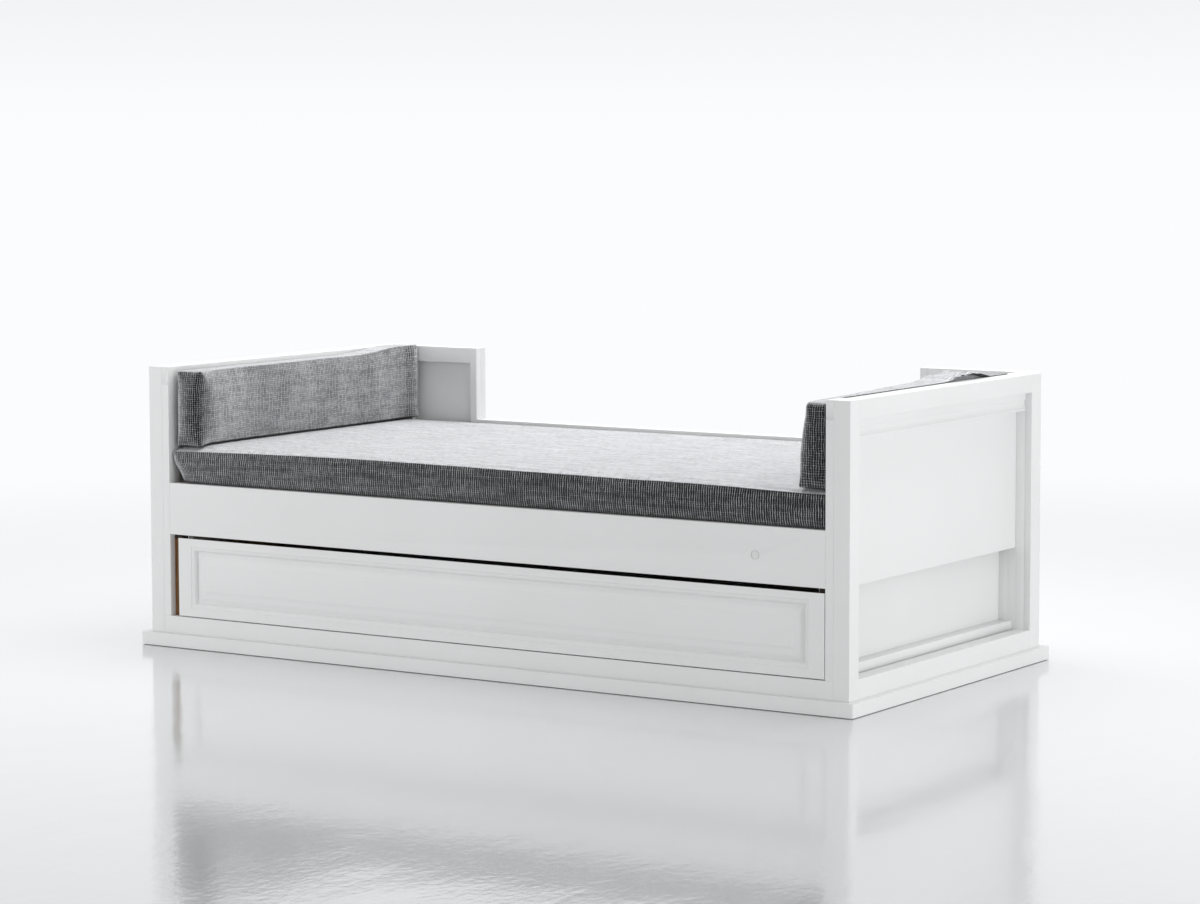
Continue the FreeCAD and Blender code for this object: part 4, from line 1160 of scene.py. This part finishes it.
@dataclass
class Runner:
    """What a runner's pressed members hold: two rows of balls by the middle member, one near its top and one near its
    bottom; the cage that holds them is not built.
    """

    side: str
    ball_radius: float = 0.0023
    ball_pitch: float = 0.019
    cage_length: float = 0.30
    cage_inset: float = 0.02
    track_inset: float = 0.0027
    ball_steps: int = 8
    ball_sides: int = 12

    def build(self) -> bpy.types.Object:
        """Set the balls between the outer and the middle member."""
        low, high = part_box(f"{self.side}_runner_middle")
        radius, steps = self.ball_radius, self.ball_steps
        angles = [math.pi * index / steps for index in range(1, steps)]
        arc = [(radius * math.sin(angle), -radius * math.cos(angle)) for angle in angles]
        pattern = turned_piece("ball_pattern", [(0.0, -radius), *arc, (0.0, radius)], self.ball_sides)
        places = []
        middle = (low.x + high.x) / 2
        count = int(self.cage_length / self.ball_pitch)
        for index in range(count):
            y = high.y - self.cage_inset - index * self.ball_pitch
            for z in (low.z + self.track_inset, high.z - self.track_inset):
                places.append(((middle, y, z), (0.0, 0.0, 1.0), (1.0, 0.0, 0.0)))
        piece = Repeat(f"{self.side}_runner_balls", pattern, BALL_STEEL).grow(places)
        return settle(piece, None, f"{self.side}_runner")


class Panel(Enum):
    """The panels of a cushion, as the fixed axis and which end of it."""

    LEFT = (0, 0)
    RIGHT = (0, 1)
    FRONT = (1, 0)
    BACK = (1, 1)
    BOTTOM = (2, 0)
    TOP = (2, 1)


Wave = tuple[Point, float, float]
Band = tuple[float, float]
FILLING_FRAMES = 20
FILLING_CLOTH = {"quality": 5, "mass": 0.25, "tension_stiffness": 12.0, "compression_stiffness": 12.0,
                 "shear_stiffness": 4.0, "bending_stiffness": 0.35, "use_pressure": True}


@dataclass
class Cushion:
    """A sewn, stuffed form: a fine box grid that is rounded, filled by a cloth run and then detailed."""

    name: str
    node: str
    body: str
    cell: float = 0.015
    rounding: float = 0.020
    side_rounding: float = 0.015
    foot_rounding: float = 0.010
    crown: float = 0.006
    draw: float = 0.003
    pressure: float = 4.0
    cap: float = 0.006
    fill: float = 0.7
    slot: str = "woven_fabric"
    finish: Finish = CLOTH
    edge_margin: float = 0.0006
    close_lines: tuple[float, ...] = (0.0, 0.3, 0.65, 1.0, 1.7)
    foot_band: Band = (0.0, 0.2)
    head_band: Band = (0.85, 1.0)
    map_shift: float = 0.0011

    def build(self) -> bpy.types.Object:
        """Make the whole cushion."""
        low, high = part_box(self.node)
        self.low = np.array(low) + self.edge_margin
        self.high = np.array(high) - self.edge_margin
        self.lines = [self.spaced(self.high[axis] - self.low[axis]) + self.low[axis] for axis in range(3)]
        self.index = self.number_points()
        flat = self.grid_points()
        piece = new_piece(self.name, self.model(flat), self.grid_faces())
        self.lay_cloth_map(piece, flat)
        self.inflate(piece)
        points = self.read(piece)
        self.write(piece, self.confine(self.tease(points, flat)))
        piece.data.shade_smooth()
        fine = piece.modifiers.new("fine", "SUBSURF")
        fine.levels = fine.render_levels = 1
        bake_modifiers(piece)
        piece.data.shade_smooth()
        settle(piece, self.finish, self.body, [self.node])
        return piece

    def spaced(self, length: float) -> np.ndarray:
        """Places from 0 to a length: a few close lines at both ends and even cells between."""
        near = np.array(self.close_lines) * max(self.rounding, self.side_rounding)
        count = max(2, round((length - 2 * near[-1]) / self.cell))
        middle = np.linspace(near[-1], length - near[-1], count + 1)
        return np.concatenate([near[:-1], middle, length - near[-2::-1]])

    def number_points(self) -> dict[tuple[int, int, int], int]:
        """Number each grid point that lies on the box's surface."""
        counts = [len(line) for line in self.lines]
        index: dict[tuple[int, int, int], int] = {}
        for i in range(counts[0]):
            for j in range(counts[1]):
                edge = i in (0, counts[0] - 1) or j in (0, counts[1] - 1)
                for k in range(counts[2]) if edge else (0, counts[2] - 1):
                    index[(i, j, k)] = len(index)
        return index

    def grid_points(self) -> np.ndarray:
        """The points of the plain box grid."""
        keys = np.array(list(self.index))
        return np.stack([self.lines[axis][keys[:, axis]] for axis in range(3)], axis=1)

    def grid_faces(self) -> list[tuple[int, int, int, int]]:
        """The faces of the box grid, panel by panel, all facing outwards."""
        faces = []
        counts = [len(line) for line in self.lines]
        self.face_panels = []
        for panel in Panel:
            axis, end = panel.value
            first, second = [other for other in range(3) if other != axis]
            flip = (end == 1) == (axis == 1)
            for a in range(counts[first] - 1):
                for b in range(counts[second] - 1):
                    corners = []
                    for da, db in ((0, 0), (1, 0), (1, 1), (0, 1)):
                        key = [0, 0, 0]
                        key[axis] = end * (counts[axis] - 1)
                        key[first], key[second] = a + da, b + db
                        corners.append(self.index[tuple(key)])
                    faces.append(tuple(reversed(corners)) if flip else tuple(corners))
                    self.face_panels.append(panel)
        return faces

    def lay_cloth_map(self, piece: bpy.types.Object, flat: np.ndarray) -> None:
        """Give each panel its own cloth map in metres: along the panel and up or across it."""
        layer = piece.data.uv_layers.new(name="cloth")
        rows = []
        for polygon, panel in zip(piece.data.polygons, self.face_panels):
            axis, end = panel.value
            first, second = [other for other in range(3) if other != axis]
            shift = self.map_shift * (axis * 2 + end)
            for corner in polygon.vertices:
                rows += [flat[corner, first] + shift, flat[corner, second] + shift]
        layer.data.foreach_set("uv", rows)

    def model(self, flat: np.ndarray) -> np.ndarray:
        """Round the box's edges, crown its top and draw its sides in."""
        height = self.high[2] - self.low[2]
        share = np.clip((flat[:, 2] - self.low[2]) / height, 0, 1)
        radius = (self.foot_rounding + (self.side_rounding - self.foot_rounding) * step(share, *self.foot_band)
                  + (self.rounding - self.side_rounding) * step(share, *self.head_band))
        core = np.empty_like(flat)
        top_edge = self.high[2] - self.crown
        squeezed = flat.copy()
        squeezed[:, 2] = self.low[2] + (flat[:, 2] - self.low[2]) * (top_edge - self.low[2]) / height
        for axis, (start, end) in enumerate(zip(self.low, (self.high[0], self.high[1], top_edge))):
            core[:, axis] = np.clip(squeezed[:, axis], start + radius, end - radius)
        offset = squeezed - core
        length = np.maximum(np.linalg.norm(offset, axis=1), 1e-9)
        points = core + offset * (radius / length)[:, None]
        middle, half = (self.low + self.high) / 2, (self.high - self.low) / 2
        unit = np.clip((flat - middle) / half, -1, 1)
        swell = (1 - unit[:, 0] ** 2) ** 0.5 * (1 - unit[:, 1] ** 2) ** 0.5
        points[:, 2] += self.crown * swell * share
        for axis, other in ((0, 1), (1, 0)):
            pull = self.draw * (1 - unit[:, other] ** 2) * unit[:, axis] ** 3
            points[:, axis] -= pull
        return points

    def held_points(self) -> list[int]:
        """The grid points that a seam or the surface under the cushion holds still."""
        lasts = [len(line) - 1 for line in self.lines]
        return [number for key, number in self.index.items()
                if key[2] == 0 or sum(place in (0, last) for place, last in zip(key, lasts)) >= 2]

    def inflate(self, piece: bpy.types.Object) -> None:
        """Fill the form: let pressure swell the cloth between its seams, and cap the swelling."""
        start = self.read(piece)
        piece.vertex_groups.new(name="held").add(self.held_points(), 1.0, "REPLACE")
        cloth = piece.modifiers.new("filling", "CLOTH")
        settings = cloth.settings
        for name, setting in FILLING_CLOTH.items():
            setattr(settings, name, setting)
        settings.uniform_pressure_force = self.pressure
        settings.effector_weights.gravity = 0.0
        settings.vertex_group_mass = "held"
        cloth.collision_settings.use_collision = False
        cloth.point_cache.frame_start, cloth.point_cache.frame_end = 1, FILLING_FRAMES
        scene = bpy.context.scene
        for moment in range(1, FILLING_FRAMES + 1):
            scene.frame_set(moment)
        graph = bpy.context.evaluated_depsgraph_get()
        filled = piece.evaluated_get(graph).to_mesh()
        points = np.empty(len(filled.vertices) * 3)
        filled.vertices.foreach_get("co", points)
        piece.evaluated_get(graph).to_mesh_clear()
        piece.modifiers.remove(cloth)
        piece.vertex_groups.clear()
        scene.frame_set(1)
        move = points.reshape(-1, 3) - start
        far = np.maximum(np.linalg.norm(move, axis=1), 1e-9)
        gentle = self.cap * np.tanh(far / self.cap) / far
        self.write(piece, start + move * gentle[:, None])

    def read(self, piece: bpy.types.Object) -> np.ndarray:
        """A mesh's points."""
        points = np.empty(len(piece.data.vertices) * 3)
        piece.data.vertices.foreach_get("co", points)
        return points.reshape(-1, 3)

    def write(self, piece: bpy.types.Object, points: np.ndarray) -> None:
        """Put points back into a mesh."""
        piece.data.vertices.foreach_set("co", points.ravel())
        piece.data.update()

    def tease(self, points: np.ndarray, flat: np.ndarray) -> np.ndarray:
        """Work the form's own folds and bulges in; the plain cushion has none, so its points stay as they are."""
        return points

    def confine(self, points: np.ndarray) -> np.ndarray:
        """Keep the form off what it rests on and leans on."""
        points[:, 2] = np.maximum(points[:, 2], self.low[2])
        return points


def hump(place: np.ndarray, centre: float, width: float) -> np.ndarray:
    """A smooth bump of height 1 round a centre, gone a width away from it."""
    share = np.clip(np.abs(place - centre) / width, 0, 1)
    return (1 - share * share) ** 2


def step(place: np.ndarray, start: float, end: float) -> np.ndarray:
    """A smooth step from 0 at start to 1 at end."""
    share = np.clip((place - start) / (end - start), 0, 1)
    return share * share * (3 - 2 * share)


def ruffle(points: np.ndarray, waves: Sequence[Wave]) -> np.ndarray:
    """Soft noise at each point: the sum of waves, each with its stretch per axis, its seed and its depth."""
    total = np.zeros(len(points))
    for stretch, seed, depth in waves:
        scaled = points * np.array(stretch) + seed
        total += np.array([noise.noise(Vector(row)) for row in scaled]) * depth
    return total


@dataclass
class BedMattress(Cushion):
    """The mattress on the bed: flat and firm, with its left end tucked under and a soft top."""

    tuck: float = 0.032
    tuck_share: float = 0.7
    tuck_run: float = 2.5
    sag: float = 0.005
    left_sag: float = 0.011
    right_sag: float = 0.007
    sag_place: Band = (0.80, 0.52)
    left_reach: float = 0.5
    sagging_edge: float = 0.06
    flat_edge: float = 0.05
    play: float = 0.002
    dents: Sequence[Wave] = (((4.0, 9.0, 1.0), 11.0, 0.0016), ((1.3, 24.0, 1.0), 4.0, 0.0011))
    front_waves: Sequence[Wave] = (((11.0, 1.0, 14.0), 2.0, 0.0018),)

    def tease(self, points: np.ndarray, flat: np.ndarray) -> np.ndarray:
        """Tuck the left end under, dent the top softly and roll the right end's top corner down."""
        height = (flat[:, 2] - self.low[2]) / (self.high[2] - self.low[2])
        from_left = flat[:, 0] - self.low[0]
        under = 1 - step(height, 0.05, self.tuck_share)
        points[:, 0] += self.tuck * under * (1 - step(from_left, 0.0, self.tuck * self.tuck_run))
        top = height > 0.999
        from_front = flat[:, 1] - self.low[1]
        inside = step(np.minimum(from_front, self.high[1] - flat[:, 1]), 0.0, self.flat_edge)
        points[:, 2] += np.where(top, ruffle(flat, self.dents) * inside, 0.0)
        points[:, 1] += np.where(from_front < 1e-6, ruffle(flat, self.front_waves), 0.0)
        near = 1 - step(from_front, 0.0, self.sagging_edge)
        right = from_left / (self.high[0] - self.low[0])
        pressed = (self.sag * hump(right, *self.sag_place)
                   + self.left_sag * np.clip(1 - right / self.left_reach, 0, 1) ** 3
                   + self.right_sag * step(right, self.sag_place[0], 1.0))
        points[:, 2] -= pressed * near * step(height, 0.3, 1.0)
        return points

    def confine(self, points: np.ndarray) -> np.ndarray:
        """Keep the mattress between the ends, off the slats and under the bolsters."""
        points = super().confine(points)
        points[:, 0] = np.clip(points[:, 0], self.low[0], self.high[0])
        points[:, 1] = np.clip(points[:, 1], self.low[1] - self.play, self.high[1])
        points[:, 2] = np.minimum(points[:, 2], self.high[2] + self.play * 0.1)
        return points


@dataclass
class Bolster(Cushion):
    """A long side cushion that stands on the mattress and leans on an end."""

    inward: float = 1.0
    ear: float = 0.010
    bunch: float = 0.0
    rise: float = 0.0
    ceiling: float = 0.02
    lip: float = 0.0
    lip_clearance: float = 0.0012
    cap_bulge: float = 0.003
    crease: float = 0.005
    pinch: float = 0.008
    puff: float = 0.007
    front_reach: float = 0.0
    toe_lift: float = 0.004
    hem_lift: float = 0.0035
    undercut: float = 0.040
    heel_reach: float = 0.015
    heel_puff: float = 0.0
    lean_from: float = 0.80
    lean_to: float = 0.90
    hem_drop: float = 0.0026
    front_drop: float = 0.0075
    front_shift: float = 0.0
    over_wood: float = 0.0055
    heel_room: float = 0.016
    face_band: Band = (0.5, 1.0)
    hem_band: Band = (0.0, 0.12)
    lift_band: Band = (0.6, 1.0)
    heel_band: Band = (0.96, 1.0)
    heel_puff_band: Band = (0.955, 0.985)
    ear_band: Band = (0.72, 0.95)
    rise_band: Band = (0.06, 0.62)
    fall_band: Band = (0.82, 0.90)
    gather: Band = (0.72, 0.18)
    crease_place: Band = (0.775, 0.075)
    pinch_band: Band = (0.74, 0.82)
    cap_run: Band = (0.004, 0.055)
    front_run: float = 0.03
    reach_run: float = 0.06
    shift_run: float = 0.25
    toe_run: float = 0.10
    lip_run: Band = (0.01, 0.05)
    lip_end: Band = (0.93, 0.97)
    lip_heights: Band = (0.93, 0.962)
    undercut_side: float = 0.078
    undercut_front: float = 0.10
    hem_top: float = 0.035
    folds: Sequence[Wave] = (((14.0, 34.0, 2.0), 21.0, 0.6), ((26.0, 80.0, 4.0), 3.0, 0.6))
    ripples: Sequence[Wave] = (((1.0, 7.0, 9.0), 31.0, 0.0030), ((1.0, 22.0, 12.0), 8.0, 0.0012))
    slack: Sequence[Wave] = (((9.0, 18.0, 1.0), 44.0, 0.0012),)

    def tease(self, points: np.ndarray, flat: np.ndarray) -> np.ndarray:
        """Shape the pillowy front end, the back corner's ear, the gathered top and the rippled face."""
        share = (flat - self.low) / (self.high - self.low)
        depth = share[:, 0] if self.inward > 0 else 1 - share[:, 0]
        height, back = share[:, 2], share[:, 1]
        along = flat[:, 1] - self.low[1]
        face = step(depth, *self.face_band)
        lift = step(height, *self.lift_band)
        points[:, 2] = np.minimum(points[:, 2], self.high[2] + self.ceiling - (1 - depth) * 0.002)
        self.shape_front(points, depth, height, along)
        hem = 1 - step(height, *self.hem_band)
        points[:, 2] += hem * (self.hem_lift + self.toe_lift * step(back, 0.72, 1.0) * face)
        points[:, 1] += self.heel_reach * step(back, *self.heel_band)
        points[:, 0] += self.inward * self.heel_puff * step(back, *self.heel_puff_band) * face
        points[:, 2] += self.ear * lift * step(back, *self.ear_band)
        points[:, 2] += self.rise * lift * step(back, *self.rise_band) * (1 - step(back, *self.fall_band))
        gathered = hump(back, *self.gather)
        points[:, 2] += self.bunch * lift * gathered * (1 + ruffle(flat, self.folds))
        points[:, 0] += self.inward * ruffle(flat, self.ripples) * face
        points[:, 2] += ruffle(flat, self.slack) * step(height, 0.9, 1.0)
        self.rest_on_lining(points, depth, height, back)
        self.undercut_foot(points, flat, depth, height, along)
        return points

    def shape_front(self, points: np.ndarray, depth: np.ndarray, height: np.ndarray, along: np.ndarray) -> None:
        """Puff the front end out, with a crease below its top and the face drawn in behind it."""
        face = step(depth, *self.face_band)
        near = 1 - step(along, *self.cap_run)
        crease = hump(height, *self.crease_place)
        points[:, 0] += self.inward * near * face * (self.cap_bulge * step(height, self.lean_from, self.lean_to)
                                                     - self.pinch * (1 - step(height, *self.pinch_band)))
        points[:, 0] -= self.inward * near * face * crease * self.crease
        oval = np.clip(4 * depth * (1 - depth), 0, 1) ** 0.5 * np.clip(4 * height * (1 - height), 0, 1) ** 0.5
        points[:, 0] += self.inward * self.front_shift * (1 - step(along, 0.0, self.shift_run))
        end = 1 - step(along, 0.0, self.front_run)
        points[:, 1] -= end * (self.puff * oval - self.crease * crease * (1 - face * 0.5))
        points[:, 1] -= self.front_reach * (1 - step(along, 0.0, self.reach_run))
        toe = (1 - step(height, *self.hem_band)) * (1 - step(along, 0.0, self.toe_run))
        points[:, 2] += self.toe_lift * toe

    def rest_on_lining(self, points: np.ndarray, depth: np.ndarray, height: np.ndarray, back: np.ndarray) -> None:
        """Draw the top edge over the wood beside it, as a thin lip that lies on the lining's top."""
        if self.lip <= 0:
            return
        rest = float(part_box("right_lining_top_rail")[1].z) + self.lip_clearance
        run = step(back, *self.lip_run) * (1 - step(back, *self.lip_end))
        inner = 1 - step(depth, 0.0, 0.5)
        upper = step(height, *self.lip_heights)
        needed = np.maximum(rest + 0.001 * (height > 0.999) - points[:, 2], 0)
        points[:, 2] += run * inner * upper * needed
        edge = (height > 0.999) & (depth < 1e-6)
        points[:, 0] -= self.inward * self.lip * run * edge
        second = (height > 0.999) & (depth > 1e-6) & (depth < 0.2)
        points[:, 0] -= self.inward * self.lip * 0.6 * run * second * (1 - depth / 0.2)

    def undercut_foot(self, points: np.ndarray, flat: np.ndarray, depth: np.ndarray, height: np.ndarray,
                      along: np.ndarray) -> None:
        """Draw the bottom in all round the face and the front, so that a thin dark gap shows under the edge."""
        foot = height < 1e-6
        from_face = (1 - depth) * (self.high[0] - self.low[0])
        points[:, 0] -= self.inward * foot * self.undercut * np.clip(1 - from_face / self.undercut_side, 0, 1)
        points[:, 1] += foot * self.undercut * np.clip(1 - along / self.undercut_front, 0, 1)
        points[:, 2] = np.where(foot, self.low[2], points[:, 2])
        points[:, 2] -= self.hem_drop * (height > 1e-6) * (height < self.hem_top)

    def confine(self, points: np.ndarray) -> np.ndarray:
        """Keep the bolster off the mattress, the end and the wing."""
        points = super().confine(points)
        front = 1 - step(points[:, 1] - self.low[1], -0.012, 0.045)
        points[:, 2] -= self.front_drop * front * (1 - step(points[:, 2] - self.low[2], 0.0, 0.08))
        over = points[:, 2] > self.high[2] + self.over_wood
        if self.inward > 0:
            points[:, 0] = np.maximum(points[:, 0], self.low[0])
        else:
            points[:, 0] = np.minimum(points[:, 0], self.high[0] + self.lip * over)
        points[:, 1] = np.minimum(points[:, 1], self.high[1] + self.heel_room)
        return points


@dataclass
class GuestMattress(Cushion):
    """The mattress that lies in the drawer."""

    play: float = 0.002

    def confine(self, points: np.ndarray) -> np.ndarray:
        """Keep it inside the drawer and under the bed rail."""
        points = super().confine(points)
        for axis in (0, 1):
            points[:, axis] = np.clip(points[:, axis], self.low[axis] - self.play, self.high[axis] + self.play)
        return points


def main() -> None:
    """Build the studio and dress the bed, from the floor up."""
    Studio().build()
    PaintedFrame().dress()
    for side in ("left", "right"):
        FriezeMoulding(side).build()
    RailPlug().build()
    BedBase().build()
    DrawerFront().build()
    for side in ("left", "right"):
        Runner(side).build()
    BedMattress(
        "mattress_cover", "mattress", "mattress", cell=0.0165, rounding=0.0045, foot_rounding=0.012,
        side_rounding=0.010, crown=0.003, draw=0.004, cap=0.004, fill=0.85,
        finish=MATTRESS_CLOTH,
    ).build()
    Bolster(
        "left_bolster_cover", "left_bolster", "left_bolster", cell=0.013, rounding=0.008, side_rounding=0.010,
        foot_rounding=0.004, crown=0.002, cap=0.007, inward=1.0, ear=0.014, ceiling=-0.004, pinch=0.0,
        puff=0.005, front_reach=0.006, hem_lift=0.001, toe_lift=0.002, heel_puff=0.006, front_shift=0.011,
    ).build()
    Bolster(
        "right_bolster_cover", "right_bolster", "right_bolster", cell=0.013, rounding=0.014, side_rounding=0.014,
        foot_rounding=0.004, crown=0.002, cap=0.007, inward=-1.0, ear=-0.006, bunch=0.017, rise=0.010,
        cap_bulge=-0.012, crease=0.0, pinch=-0.002, toe_lift=0.0, hem_lift=0.0, puff=0.005,
        front_reach=0.011, heel_reach=0.004, lip=0.028, ceiling=-0.002, lean_from=0.30, lean_to=0.98,
        front_drop=0.0082,
    ).build()
    GuestMattress(
        "pull_out_mattress_cover", "pull_out_mattress", "drawer", cell=0.026, rounding=0.016,
        foot_rounding=0.014, crown=0.006, draw=0.004, cap=0.006, fill=0.8,
        slot="mattress_ticking", finish=TICKING,
    ).build()


if __name__ == "__main__":
    logging.basicConfig(level=logging.INFO, format="%(message)s")
    main()
